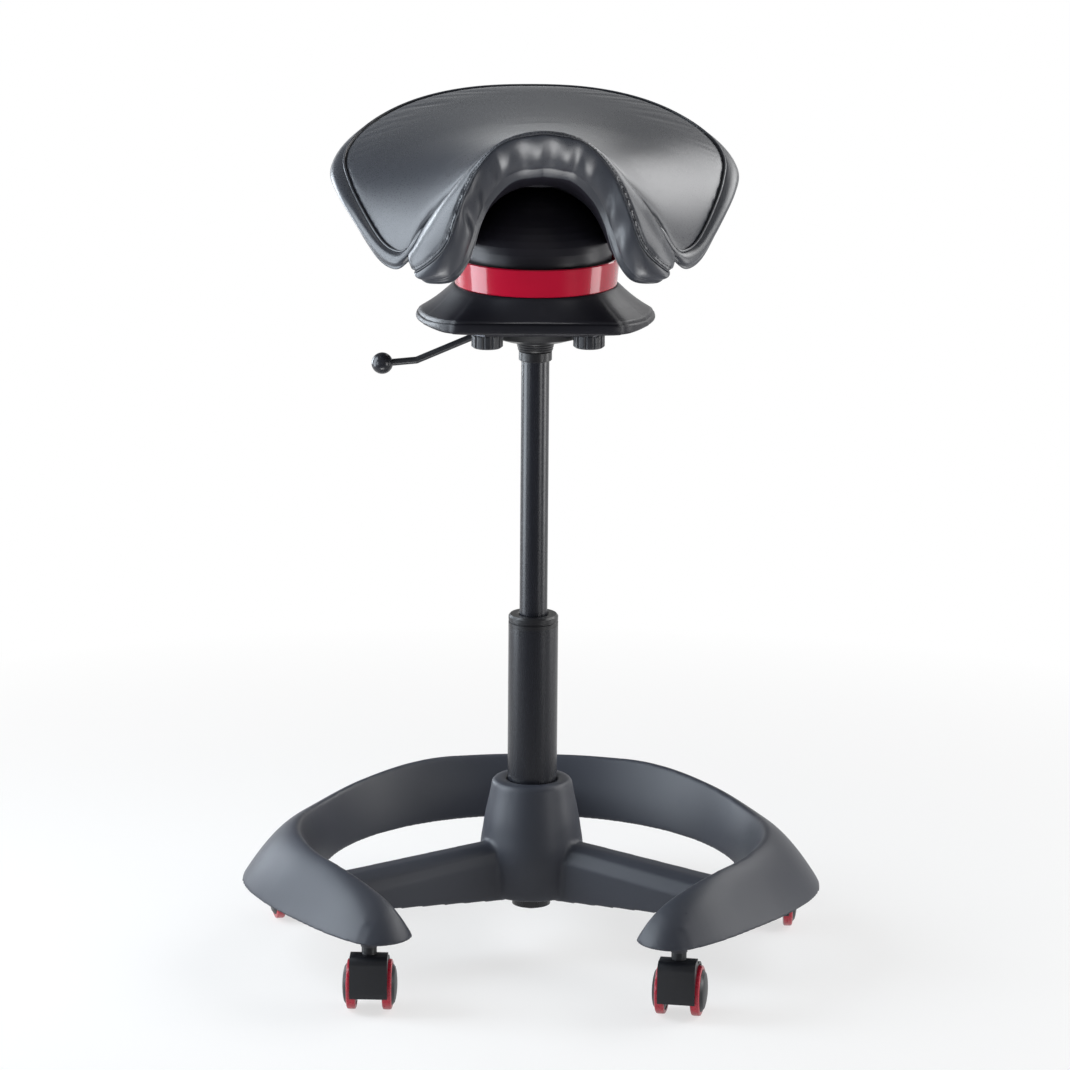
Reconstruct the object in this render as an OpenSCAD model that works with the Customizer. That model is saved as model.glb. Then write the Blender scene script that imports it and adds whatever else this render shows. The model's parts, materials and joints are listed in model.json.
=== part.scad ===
// Ergonomic saddle stool on an open ring base with five twin-wheel casters.
// Millimetres. Z is up, the floor is z = 0, the column's axis is x = y = 0
// and the sitter faces -Y. Angles round the base run from the front, -Y.

/* [Foot ring] */
// Height of the ring's underside above the floor
ring_bottom_z = 74.5; // [70:0.5:80]
// Height of the ring's crest at the back
crest_z = 136; // [130:1:142]
// Height of the ring's crest at the sides
side_crest_z = 131; // [127:1:135]
// Radius of the ring's inner foot
ring_inner_r = 213; // [210:1:216]
// Outer radius of the ring at the back
ring_back_r = 287; // [284:1:292]
// Outer radius of the ring at its rear shoulders
ring_shoulder_r = 279; // [276:1:283]
// Outer radius of the ring at the sides
ring_side_r = 295; // [291:1:298]
// Outer radius of the ring on the straight run before each tip
ring_front_r = 280; // [277:1:284]
// Angle from the front at which a tip ends
tip_angle = 27.5; // [26:0.5:29]
// Wall of the moulded ring and arms
moulding_wall = 5; // [4:0.5:6]
// Width of an arm at the hub
arm_hub_w = 38; // [34:1:42]
// Width of an arm at the ring
arm_ring_w = 52; // [46:1:56]
// Height of an arm's underside above the floor
arm_bottom_z = 60; // [58:1:66]

/* [Hub and column] */
// Height of the hub's rim above the floor
hub_top_z = 181; // [170:1:190]
// Radius of the hub's rim
hub_top_r = 41; // [39:1:43]
// Radius of the hub where the arms leave it
hub_waist_r = 52; // [50:1:56]
// Outer diameter of the stand tube
stand_d = 50; // [49:0.5:51]
// Wall of the stand tube
stand_wall = 2.5; // [2:0.1:3]
// Height at which the stand tube ends
stand_top_z = 340; // [325:1:355]
// Height of the guide bush's flange
bush_flange_h = 12; // [10:1:16]
// Length of the guide bush inside the stand tube
bush_len = 70; // [60:1:80]
// Diameter of the gas spring's pressure tube
tube_d = 28; // [27:0.5:29]
// Wall of the pressure tube
tube_wall = 2; // [1.5:0.1:2.5]
// Length of pressure tube that shows at full height
tube_show = 260; // [240:1:280]
// Diameter of the piston rod
rod_d = 10; // [8:0.5:11]
// Running clearance on a radius, for turning and sliding fits
run_gap = 0.05; // [0.02:0.01:0.08]
// Gap between pieces that are set in one another and don't move
set_gap = 0.15; // [0.1:0.05:0.25]

/* [Casters] */
// Number of casters round the ring
caster_n = 5; // [5:1:5]
// Radius of the circle on which the casters pivot
caster_r = 258; // [254:1:260]
// Diameter of a caster wheel
wheel_d = 50; // [46:1:52]
// Width of a red tread
tread_w = 9.6; // [8:0.2:11]
// Thickness of a red tread
tread_t = 4; // [3:0.5:5]
// Gap between the two wheels of a caster
wheel_gap = 25.6; // [24:0.2:28]
// How far a wheel's cap bulges past its tread
cap_bulge = 4.6; // [3:0.2:6]
// Distance from a caster's pivot to its wheel axle
trail = 10; // [8:0.5:16]
// Width of a caster's hood
hood_w = 37; // [34:0.5:40]
// Height of a caster's hood above the floor
hood_top_z = 60; // [58:0.5:61]
// Diameter of a caster's stem in its socket
stem_d = 11; // [10:0.5:11]
// Depth of a caster's socket
socket_depth = 16; // [12:1:18]
// Diameter of a wheel axle
axle_d = 6; // [5:0.5:8]

/* [Mechanism] */
// Turn of everything above the swivel when it is at rest
seat_turn = 4.5; // [0:0.5:8]
// Turn of the mechanism's cover when it is at rest
cover_turn = 2.5; // [0:0.5:8]
// Half the width of the mechanism's cover
cover_r = 121; // [116:1:126]
// Distance from the column to the cover's straight front edge
cover_front = 81; // [78:1:86]
// Height of the cover's rim along its straight front
cover_front_h = 11; // [9:0.5:13]
// Height of the cover's rim at its sides and back
cover_rim_h = 6; // [5:0.5:8]
// Wall of the mechanism's cover
cover_wall = 3.5; // [3:0.5:5]
// Radius of the red band's foot
band_r = 80.4; // [79:0.2:83]
// Height of the red band
band_h = 28; // [24:1:32]
// Wall of the red band
band_wall = 2.4; // [2:0.1:2.8]
// Outer radius of the rocking dome
dome_r = 75; // [73:0.5:75.5]
// Wall of the rocking dome
dome_wall = 3; // [2.5:0.5:4]
// Diameter of the cross pins on which the seat rocks
cross_d = 10; // [8:0.5:12]
// Diameter of the lever's rod
lever_d = 7; // [6:0.5:8]
// Diameter of the lever's ball
ball_d = 21.5; // [18:0.5:26]
// Diameter of an adjusting knob
knob_d = 31; // [28:1:34]
// Distance of each knob from the middle plane
knob_x = 50; // [44:1:52]

/* [Saddle] */
// Height of the saddle's lowest ridge point above the mechanism plate
seat_rise = 201; // [198:1:206]
// Rise of the ridge towards the pommel
pommel_rise = 17; // [12:1:22]
// Rise of the ridge towards the back
rear_rise = 11; // [8:1:16]
// Fall of the saddle's sides at the pommel, 100 mm from the middle
drape = 105; // [98:1:110]
// Thickness of the padding over the seat shell
pad_t = 28; // [25:1:30]
// Thickness of the seat shell
shell_t = 7; // [6:1:9]
// How far the side band bulges past its seam
side_bulge = 14; // [10:1:16]
// Height of the side band round the seat's edge
side_h = 40; // [36:1:44]
// Thickness of the gathered lining under the pommel
lining_t = 5; // [4:0.5:6]
// Depth of the lining's gathers
gather = 2.6; // [1:0.2:3.4]
// Gap between soft pieces
soft_gap = 0.35; // [0.3:0.05:0.5]

/* [Hidden] */
stem_r = stem_d / 2;
axle_r = axle_d / 2;
rod_r = rod_d / 2;
tube_r = tube_d / 2;
stand_r = stand_d / 2;
cross_r = cross_d / 2;
knob_r = knob_d / 2;
wheel_r = wheel_d / 2;
cap_r = wheel_r - tread_t;
$fn = 64;

// Heights up the column
clip_z = 45;
end_z = 48;
seat_ledge_z = 58;
floor_plate_z = 59;
taper_top_z = 150;
stand_end_r = 19.5;
taper_r = 23.4;
bush_bottom_z = stand_top_z - bush_len;
bush_top_z = stand_top_z + bush_flange_h;
tube_bottom_z = bush_bottom_z;
collar_z = bush_top_z + tube_show;
collar_h = 10;
collar_r = tube_r + 2.5;
cone_z = collar_z + collar_h;
hub_seat_z = cone_z + 14;
plate_z = cone_z + 28;
plate_t = 5;
plate_top_z = plate_z + plate_t;
plate_r = 90;
rim_z = plate_z + 3;
cover_top_z = plate_z + 40;
pivot_rise = 70;
pivot_z = plate_z + pivot_rise;
seat_low_z = plate_z + seat_rise;
piston_z = tube_bottom_z + 8;
piston_h = 12;
seal_h = 6;
pin_r = 3.5;
pin_top_z = plate_z + 6.4;
pin_low_z = plate_z - 6;

// Casters: the angle of each pivot from the front, and where each caster trails,
// as an angle from straight back.
caster_angles = [for (k = [0 : caster_n - 1]) (k + 0.5) * 360 / caster_n];
caster_trails = [-8, 0, 0, 14, 0];
caster_names = ["front_right", "side_right", "back", "side_left", "front_left"];
caster_nodes = [for (c = caster_names) for (p = ["hood", "axle", "wheel_left", "tread_left",
    "wheel_right", "tread_right"]) str("caster_", c, "_", p)];

// Blends, rails and skins

function lerp(a, b, t) = a + (b - a) * t;
function ease(t) = let(c = min(1, max(0, t))) c * c * (3 - 2 * c);
function unit(v) = v / norm(v);
function mirrored(p) = len(p) == 2 ? [-p[0], p[1]] : [-p[0], p[1], p[2]];

// A smooth curve through hand-placed points: p is a list, t runs from 0 to len(p) - 1
function spline(p, t) = let(
    n = len(p) - 1, i = min(n - 1, max(0, floor(t))), u = t - i,
    a = p[i], b = p[i + 1],
    ma = i > 0 ? (b - p[i - 1]) / 2 : b - a,
    mb = i < n - 1 ? (p[i + 2] - a) / 2 : b - a)
    (2 * pow(u, 3) - 3 * u * u + 1) * a + (pow(u, 3) - 2 * u * u + u) * ma
    + (3 * u * u - 2 * pow(u, 3)) * b + (pow(u, 3) - u * u) * mb;

// A value read off a smooth curve through [position, value] pairs
function along(p, x, i = 0) = i >= len(p) - 2 || x < p[i + 1][0]
    ? let(u = min(1, max(0, (x - p[i][0]) / (p[i + 1][0] - p[i][0])))) spline(p, i + u)[1]
    : along(p, x, i + 1);

function middle(ring) = [for (k = [0 : 2]) [for (q = ring) q[k]] * [for (q = ring) 1] / len(ring)];

// Six times the signed volume inside triangular faces: negative when they face inwards
function signed_volume(points, faces) = [for (f = faces) cross(points[f[0]], points[f[1]]) * points[f[2]]]
    * [for (f = faces) 1];

// A closed solid through rings of points, all with the same number of points.
// An open skin is capped with a fan at each end. Its faces are turned to face outwards.
module skin(rings, closed = false) {
    n = len(rings[0]);
    m = len(rings);
    last = closed ? m - 1 : m - 2;
    sides = [for (i = [0 : last]) for (j = [0 : n - 1]) let(
        a = i * n + j, b = i * n + (j + 1) % n,
        c = ((i + 1) % m) * n + (j + 1) % n, d = ((i + 1) % m) * n + j)
        each [[a, b, c], [a, c, d]]];
    start = [for (j = [0 : n - 1]) [m * n, (j + 1) % n, j]];
    end = [for (j = [0 : n - 1]) [m * n + 1, (m - 1) * n + j, (m - 1) * n + (j + 1) % n]];
    all_points = [for (r = rings) each r];
    points = closed ? all_points : concat(all_points, [middle(rings[0]), middle(rings[m - 1])]);
    faces = closed ? sides : concat(sides, start, end);
    clockwise = signed_volume(points, faces) < 0;
    polyhedron(points, clockwise ? faces : [for (f = faces) [f[0], f[2], f[1]]]);
}

// A straight round rod between two points
module rod(a, b, d) {
    v = b - a;
    translate(a) rotate([0, acos(v[2] / norm(v)), atan2(v[1], v[0])]) cylinder(d = d, h = norm(v));
}

// A ring between two radii, with true round walls
module tube(r_in, r_out, z0, z1) {
    rotate_extrude() translate([r_in, z0]) square([r_out - r_in, z1 - z0]);
}

// Foot ring: its section changes with the angle from the front

function tip_fade(a) = a >= 60 ? 1 : pow(1 - pow(max(0, (60 - a) / (60 - tip_angle)), 2.2), 0.6);
crest_line = [[60, side_crest_z - 2], [90, side_crest_z + 1], [110, side_crest_z - 4],
    [130, crest_z - 4], [150, crest_z + 2.5], [165, crest_z + 1.5], [181, crest_z]];
function ring_crest(a) = ring_bottom_z + (along(crest_line, a) - ring_bottom_z) * tip_fade(a);
outer_line = [[tip_angle, ring_front_r + 5], [40, ring_front_r + 1], [55, ring_front_r - 2],
    [68, lerp(ring_front_r, ring_side_r, 0.3)], [84, ring_side_r],
    [100, lerp(ring_side_r, ring_shoulder_r, 0.53)], [120, ring_shoulder_r], [150, ring_back_r],
    [181, ring_back_r + 9]];
function ring_outer(a) = along(outer_line, a);

// How full a section is across its width: 1 on the ring, falling to 0 on a tip's nose
nose_len = 8.5;
function nose(a) = let(u = (tip_angle + nose_len - a) / nose_len) u <= 0 ? 1 : sqrt(max(0.0, 1 - u * u));

// Height share at width share u: a leaning inner wall up to the crest, then a long outer slope
crest_u = 0.3;
function section_v(u, full) = u < crest_u
    ? 1 - pow((crest_u - u) / crest_u, 1.3)
    : 1 - pow((u - crest_u) / (1 - crest_u), full);
section_us = [0, 0.06, 0.13, 0.2, 0.25, crest_u, 0.38, 0.48, 0.6, 0.72, 0.84, 0.94, 1];

function ring_point(a, side, u, v, inset) = let(
    half_f = nose(a), ri = ring_inner_r + inset, ro = ring_outer(a) - inset,
    mid = ring_inner_r + 0.4 * (ring_outer(a) - ring_inner_r),
    r = lerp(mid, lerp(ri, ro, u), half_f),
    z = ring_bottom_z + v * (ring_crest(a) - inset - ring_bottom_z) * sqrt(half_f))
    [side * r * sin(a), -r * cos(a), z];

function ring_section(a, side, inset) = let(full = a < 60 ? lerp(2.3, 1.6, ease((a - 30) / 30)) : 1.6)
    [for (u = section_us) ring_point(a, side, u, max(inset > 0 ? 0 : 0.03, section_v(u, full)), inset)];

// The underside's two edges close the section. A core reaches lower, to open the channel.
function ring_loop(a, side, inset) = let(
    top = ring_section(a, side, inset), drop = inset > 0 ? 3 : 0,
    under = [for (p = [top[len(top) - 1], top[0]]) [p[0], p[1], ring_bottom_z - drop]])
    side > 0 ? concat(top, under) : [for (i = [len(top) - 1 : -1 : 0]) top[i], under[1], under[0]];

function ring_angles(first, step) = [for (a = [first : step : 180.001]) a];
nose_angles = [for (f = [0.02, 0.12, 0.27, 0.45, 0.7]) tip_angle + nose_len * f];
core_start = 40;

module ring_half_sweep(angles, inset) {
    right = [for (a = angles) ring_loop(a, 1, inset)];
    left = [for (i = [len(angles) - 2 : -1 : 0]) [for (p = right[i]) mirrored(p)]];
    skin(concat(right, left));
}

module ring_body() {
    ring_half_sweep(concat(nose_angles, ring_angles(36, 4)), 0);
}

module ring_channel() {
    ring_half_sweep(ring_angles(core_start, 10), moulding_wall);
}

// Arms: three tapering beams from the hub to the ring, each with a crease along its top
arm_angles = [60, 180, 300];
arm_top_hub_z = 121;
arm_top_ring_z = 109;
arm_end_r = ring_inner_r + 12;

function arm_section(r, inset) = let(
    t = (r - arm_root_r) / (arm_end_r - arm_root_r),
    w = lerp(arm_hub_w, arm_ring_w, t) / 2 - inset,
    top = lerp(arm_top_hub_z, arm_top_ring_z, t) - inset,
    low = lerp(arm_bottom_z, ring_bottom_z + 1, t) - (inset > 0 ? 3 : 0))
    [[r, -w, low], [r, -w, top - 16], [r, -0.62 * w, top - 5], [r, -0.2 * w, top],
     [r, 0.45 * w, top], [r, 0.85 * w, top - 6], [r, w, top - 18], [r, w, low]];

module arm(inset) {
    skin([for (t = [0 : 0.25 : 1]) arm_section(lerp(arm_root_r, arm_end_r, t), inset)]);
}

module at_arms() {
    for (a = arm_angles) rotate(a - 90) children();
}

// Hub: a waisted boss with a filleted rim and a tapered seat for the stand tube
hub_fillet = 6;
hub_foot_r = 50;
arm_root_r = hub_foot_r - 12;
hub_foot_z = arm_bottom_z + 3;
channel_from_r = hub_foot_r + 4;
hub_waist_z = 113;
hub_rim_z = hub_top_z - hub_fillet;
function hub_radius(z) = z > hub_waist_z
    ? lerp(hub_top_r, hub_waist_r, pow(max(0, (hub_rim_z - z) / (hub_rim_z - hub_waist_z)), 0.8))
    : lerp(hub_foot_r, hub_waist_r, ease((z - hub_waist_z + 40) / 40));

module hub_solid() {
    rotate_extrude() {
        polygon(concat([[0, hub_foot_z], [hub_foot_r - 3, hub_foot_z], [hub_foot_r, hub_foot_z + 3]],
            [for (z = [hub_waist_z - 24 : 4 : hub_rim_z - 1]) [hub_radius(z), z]],
            [[hub_top_r, hub_rim_z], [0, hub_rim_z]]));
        translate([hub_top_r - hub_fillet, hub_rim_z]) circle(hub_fillet, $fn = 32);
        translate([0, hub_rim_z - 1]) square([hub_top_r - hub_fillet, hub_fillet + 1]);
    }
}

// The stand tube's outside, grown by a gap: straight above, tapered in the hub
module stand_outside(gap, top) {
    rotate_extrude() polygon([[0, end_z - 1], [stand_end_r + gap, end_z - 1],
        [stand_end_r + gap, seat_ledge_z], [taper_r + gap, seat_ledge_z],
        [stand_r + gap, taper_top_z], [stand_r + gap, top], [0, top]]);
}

function caster_pos(k) = [caster_r * sin(caster_angles[k]), -caster_r * cos(caster_angles[k]), 0];

module at_caster(k) {
    translate(caster_pos(k)) rotate(caster_trails[k]) children();
}

boss_r = 10;
sleeve_r = 30;
rib_t = 4;
pocket_top_z = 140;

// Six pockets moulded into the hub from below, with a rib between each two
module hub_pockets() {
    difference() {
        tube(sleeve_r, hub_foot_r - 6, arm_bottom_z - 6, pocket_top_z);
        for (i = [0 : 5]) rotate(i * 60) translate([0, -rib_t / 2, arm_bottom_z - 10])
            cube([hub_foot_r, rib_t, pocket_top_z]);
    }
}

module base_frame() {
    color("#3c4048") difference() {
        union() {
            difference() {
                union() {
                    ring_body();
                    at_arms() arm(0);
                    hub_solid();
                }
                ring_channel();
                at_arms() intersection() {
                    arm(moulding_wall);
                    translate([channel_from_r, -arm_ring_w, 0])
                        cube([ring_inner_r - channel_from_r, 2 * arm_ring_w, crest_z]);
                }
            }
            intersection() {
                ring_body();
                for (k = [0 : caster_n - 1]) translate(caster_pos(k)) cylinder(r = boss_r, h = crest_z);
            }
        }
        for (k = [0 : caster_n - 1]) translate(caster_pos(k) + [0, 0, ring_bottom_z - 1])
            cylinder(r = stem_r + set_gap, h = socket_depth + 1);
        stand_outside(set_gap, hub_top_z + 1);
        hub_pockets();
    }
}

// Column

module stand_tube() {
    inner_r = stand_r - stand_wall;
    color("#1d1f23") rotate_extrude() polygon([[rod_r + 0.1, end_z], [stand_end_r, end_z],
        [stand_end_r, seat_ledge_z], [taper_r, seat_ledge_z], [stand_r, taper_top_z],
        [stand_r, stand_top_z], [inner_r, stand_top_z], [inner_r, taper_top_z],
        [taper_r - stand_wall, floor_plate_z], [rod_r + 0.1, floor_plate_z]]);
}

module guide_bush() {
    bore_r = tube_r + run_gap;
    body_r = stand_r - stand_wall - 0.05;
    flange_z = stand_top_z;
    groove = 0.9;
    color("#17181b") rotate_extrude() polygon([[bore_r, bush_bottom_z], [body_r, bush_bottom_z],
        [body_r, flange_z], [stand_r, flange_z], [stand_r, flange_z + 4], [stand_r - groove, flange_z + 4.6],
        [stand_r - groove, flange_z + 5.4], [stand_r, flange_z + 6], [stand_r, bush_top_z - 2],
        [stand_r - 1.6, bush_top_z], [bore_r + 2.5, bush_top_z], [bore_r, bush_top_z - 2]]);
}

flange_h = 7;
flange_r = 8.3;
neck_r = 7.5;
spigot_r = 4;
spigot_z = 38;

module caster_stems() {
    color("#2a2b2e") for (k = [0 : caster_n - 1]) translate(caster_pos(k)) {
        translate([0, 0, spigot_z]) cylinder(r = spigot_r, h = ring_bottom_z - spigot_z);
        translate([0, 0, ring_bottom_z - flange_h]) cylinder(r = flange_r, h = flange_h);
        translate([0, 0, ring_bottom_z]) cylinder(r = stem_r, h = socket_depth - 1);
    }
}

shoulder_r = 8;
bearing_h = 6;
bearing_r = 12;
shoulder_z = floor_plate_z + bearing_h;

module piston_rod() {
    color("#b9bcc2") {
        translate([0, 0, clip_z - 2]) cylinder(r = rod_r, h = piston_z - clip_z + 3);
        translate([0, 0, shoulder_z]) cylinder(r = shoulder_r, h = 4);
        translate([0, 0, piston_z]) cylinder(r = tube_r - tube_wall - 0.1, h = piston_h);
    }
}

module retaining_clip() {
    color("#8d9096") tube(rod_r + run_gap, rod_r + 4, clip_z, end_z - 0.1);
}

module thrust_bearing() {
    race_h = bearing_h / 3;
    color("#a5a8ae") {
        tube(rod_r + run_gap, bearing_r, floor_plate_z, floor_plate_z + race_h);
        tube(rod_r + run_gap, bearing_r - 2, floor_plate_z + race_h, shoulder_z - race_h);
        tube(rod_r + run_gap, bearing_r, shoulder_z - race_h, shoulder_z);
    }
}

tube_tip_r = tube_r - 0.7;

module pressure_tube() {
    bore = tube_r - tube_wall;
    color("#1b1d21") rotate_extrude() polygon([[rod_r + run_gap, tube_bottom_z], [tube_r, tube_bottom_z],
        [tube_r, hub_seat_z], [tube_tip_r, plate_z], [pin_r + run_gap, plate_z],
        [pin_r + run_gap, plate_z - 8], [bore, plate_z - 8], [bore, tube_bottom_z + seal_h],
        [rod_r + run_gap, tube_bottom_z + seal_h]]);
}

module tube_collar() {
    color("#141518") rotate_extrude() polygon([[tube_r + run_gap, collar_z], [collar_r - 0.8, collar_z],
        [collar_r, collar_z + 0.8], [collar_r, cone_z - 1], [collar_r - 1, cone_z],
        [tube_r + run_gap, cone_z]]);
}

// Mechanism under the seat

socket_hub_r = 18;
dish_r = 53;
lever_pivot_x = -42;
lever_slot_w = 13;
lever_slot_drop = 3;

module column_socket() {
    gap = 0.3;
    inner = socket_hub_r + gap;
    color("#25272b") difference() {
        rotate_extrude() polygon([[tube_r + gap, cone_z + 0.2], [collar_r + 0.6, cone_z + 0.2],
            [collar_r + 1.2, cone_z + 2], [collar_r + 0.8, cone_z + 2.6], [collar_r + 1.8, cone_z + 4.4],
            [collar_r + 1.4, cone_z + 5], [collar_r + 2.6, cone_z + 7], [collar_r + 2.2, cone_z + 7.6],
            [collar_r + 3.2, cone_z + 10], [dish_r - 19, cone_z + 12], [dish_r, cone_z + 18],
            [dish_r + 2, plate_z - 0.2], [dish_r, plate_z - 0.2], [dish_r - 3, cone_z + 20],
            [dish_r - 20, cone_z + 14.5], [inner, cone_z + 13.6], [tube_r + gap, cone_z + 13.6]]);
        translate([-dish_r - 8, -lever_slot_w, cone_z + 10]) cube([36, 2 * lever_slot_w, 30]);
    }
}

// The lever's rod: from the ball inwards, then straight up to the pin's top
lever_ball_at = [-152, 0, cone_z - 13];
lever_bend_at = [-118, 0, cone_z - 10];
lever_end_rise = 42.2;
lever_end_at = [5, 0, cone_z + lever_end_rise];
lever_slope = (lever_end_at[2] - lever_bend_at[2]) / (lever_end_at[0] - lever_bend_at[0]);
lever_pivot_z = lever_end_at[2] + (lever_pivot_x - lever_end_at[0]) * lever_slope;
lever_pin_r = 2;
knob_at_y = -55;
knob_stem_r = 4;
cover_screw_r = 2.5;
cover_boss_at = 83;
cover_boss_angles = [45, 135, 195, 345];
seat_screw_angles = [45, 135, 225, 315];
plate_front = cover_front - 1.6 - cover_wall - set_gap - plate_r * sin(abs(seat_turn - cover_turn));

module mechanism_plate() {
    ear_w = 4;
    color("#2b2d31") difference() {
        union() {
            difference() {
                translate([0, 0, plate_z]) cylinder(r = plate_r, h = plate_t, $fn = 96);
                translate([-plate_r, -plate_r - plate_front, plate_z - 1])
                    cube([2 * plate_r, plate_r, plate_t + 2]);
            }
            translate([0, 0, hub_seat_z]) cylinder(r = socket_hub_r, h = plate_z - hub_seat_z);
            for (s = [-1, 1]) translate([lever_pivot_x - 5, s * (lever_slot_w / 2 + ear_w / 2) - ear_w / 2,
                lever_pivot_z - 5]) cube([10, ear_w, plate_z - lever_pivot_z + 6]);
        }
        translate([0, 0, hub_seat_z]) cylinder(r1 = tube_r + run_gap, r2 = tube_tip_r + run_gap,
            h = plate_z - hub_seat_z);
        translate([0, 0, plate_z - 0.01]) cylinder(r = tube_tip_r + run_gap, h = plate_t + 1);
        translate([lever_pivot_x - 10, -lever_slot_w / 2, plate_z - lever_slot_drop])
            cube([10 - lever_pivot_x, lever_slot_w, plate_t + lever_slot_drop + 1]);
        translate([lever_pivot_x, lever_slot_w, lever_pivot_z]) rotate([90, 0, 0])
            cylinder(r = lever_pin_r + run_gap, h = 2 * lever_slot_w);
        for (s = [-1, 1]) translate([s * knob_x, knob_at_y, plate_z - 1])
            cylinder(r = knob_stem_r + run_gap, h = plate_t + 2);
        for (a = cover_boss_angles) rotate(a) translate([cover_boss_at, 0, plate_z - 1])
            cylinder(r = cover_screw_r + set_gap, h = plate_t + 2);
    }
}

// Cover: a round plate cut straight across the front, rising to the red band
side_line = [[0, 150], [42, 116], [54, 114.5], [68, 113.5], [80, 115.5], [92, 118.5], [104, cover_r],
    [181, cover_r]];
function front_line(a) = abs(a) > 80 ? 2 * cover_r : cover_front / cos(a);
function cover_outline(a) = min(front_line(a), along(side_line, abs(a)));
function rim_height(a) = lerp(cover_front_h, cover_rim_h, ease((abs(a) - 38) / 40));

cover_angles = [for (a = [-180 : 6 : 174]) a];
band_seat_r = band_r + 0.8;

function cover_loop(a) = let(
    r0 = cover_outline(a), ri = band_seat_r, w = cover_wall, edge_z = rim_z + rim_height(a),
    outer = [[r0 - 1.6, rim_z], [r0, rim_z + 1.4], [r0 - 0.4, edge_z - 2], [r0 - 2.6, edge_z],
        [lerp(r0, ri, 0.35), lerp(edge_z, cover_top_z, 0.28)],
        [lerp(r0, ri, 0.68), lerp(edge_z, cover_top_z, 0.62)],
        [ri, cover_top_z], [ri - 4.5, cover_top_z]],
    inner = [[ri - 4.5, cover_top_z - w], [ri - 1, cover_top_z - w - 1],
        [lerp(r0, ri, 0.68) - w / 2, lerp(edge_z, cover_top_z, 0.62) - w - 0.5],
        [lerp(r0, ri, 0.35) - w / 2, lerp(edge_z, cover_top_z, 0.28) - w],
        [r0 - 1.6 - w, edge_z - w], [r0 - 1.6 - w, rim_z]])
    [for (p = concat(outer, inner)) [p[0] * sin(a), -p[0] * cos(a), p[1]]];

module mechanism_cover() {
    boss_top_z = cover_top_z - cover_wall - 3;
    color("#33363c") difference() {
        union() {
            rotate(cover_turn - seat_turn) skin([for (a = cover_angles) cover_loop(a)], closed = true);
            for (a = cover_boss_angles) rotate(a) translate([cover_boss_at, 0, plate_top_z])
                cylinder(r = 5.5, h = boss_top_z - plate_top_z, $fn = 32);
        }
        for (a = cover_boss_angles) rotate(a) translate([cover_boss_at, 0, plate_top_z - 1])
            cylinder(r = cover_screw_r + set_gap, h = 15, $fn = 32);
    }
}

module cover_screws() {
    head_h = 2.6;
    color("#4a4c50") for (a = cover_boss_angles) rotate(a) translate([cover_boss_at, 0, 0]) {
        translate([0, 0, plate_z - head_h]) cylinder(r = 4.6, h = head_h, $fn = 32);
        translate([0, 0, plate_z]) cylinder(r = cover_screw_r, h = plate_t + 12, $fn = 32);
    }
}

module red_band() {
    flare = 2.3;
    z0 = cover_top_z;
    color("#c4173c") rotate_extrude($fn = 128) polygon([[band_r - band_wall, z0], [band_r - 0.6, z0],
        [band_r, z0 + 0.8], [band_r + flare, z0 + band_h - 1], [band_r + flare - 0.7, z0 + band_h],
        [band_r + flare - band_wall + 0.5, z0 + band_h], [band_r + flare - band_wall, z0 + band_h - 0.8]]);
}

module release_pin() {
    color("#8d9096") translate([0, 0, pin_low_z]) cylinder(r = pin_r, h = pin_top_z - pin_low_z);
}

module lever_rod() {
    color("#26282c") {
        rod(lever_ball_at + [ball_d / 2 - 3, 0, 0.6], lever_bend_at, lever_d);
        translate(lever_bend_at) sphere(d = lever_d, $fn = 32);
        rod(lever_bend_at, lever_end_at, lever_d);
        translate([lever_pivot_x, (lever_slot_w + 8) / 2, lever_pivot_z]) rotate([90, 0, 0])
            cylinder(r = lever_pin_r, h = lever_slot_w + 8);
    }
}

module lever_ball() {
    color("#1c1d20") difference() {
        translate(lever_ball_at) sphere(d = ball_d, $fn = 48);
        rod(lever_ball_at + [ball_d / 2 - 3.1, 0, 0.6], lever_bend_at, lever_d + 2 * set_gap);
    }
}

module knob(side) {
    flutes = 12;
    knob_top_z = plate_z - 0.3;
    knob_h = 13.7;
    color("#202226") translate([side * knob_x, knob_at_y, 0]) {
        difference() {
            translate([0, 0, knob_top_z - knob_h]) rotate_extrude() polygon([[0, 0], [knob_r - 2, 0],
                [knob_r, 1.6], [knob_r, knob_h - 1], [knob_r - 1, knob_h], [0, knob_h]]);
            for (i = [0 : flutes - 1]) rotate((i + 0.5) * 360 / flutes) translate([knob_r + 0.9, 0,
                knob_top_z - knob_h - 1]) cylinder(r = 2.2, h = knob_h + 2, $fn = 24);
        }
        translate([0, 0, knob_top_z - 1]) cylinder(r = knob_stem_r, h = plate_t + 12);
    }
}

// Rocking joint: a cross of two pins between a lower and an upper yoke
ear_in = 20;
ear_t = 7;
ear_half = 9;
cross_core_r = 12;

module yoke_ears(z_from, z_to) {
    for (s = [-1, 1]) translate([s > 0 ? ear_in : -ear_in - ear_t, -ear_half, z_from])
        cube([ear_t, 2 * ear_half, z_to - z_from]);
}

module lower_yoke() {
    foot_t = 5;
    foot_x = 36;
    foot_y = 34;
    foot_z = plate_top_z;
    color("#3a3c41") difference() {
        union() {
            translate([-foot_x, -foot_y, foot_z]) cube([2 * foot_x, 2 * foot_y, foot_t]);
            yoke_ears(foot_z, pivot_z);
            for (s = [-1, 1]) translate([s > 0 ? ear_in : -ear_in - ear_t, 0, pivot_z]) rotate([0, 90, 0])
                cylinder(r = ear_half, h = ear_t);
        }
        translate([-foot_x - 1, 0, pivot_z]) rotate([0, 90, 0])
            cylinder(r = cross_r + run_gap, h = 2 * foot_x + 2);
        translate([-foot_x - 1, -lever_slot_w / 2, foot_z - 1]) cube([foot_x + 15, lever_slot_w, foot_t + 2]);
    }
}

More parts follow.
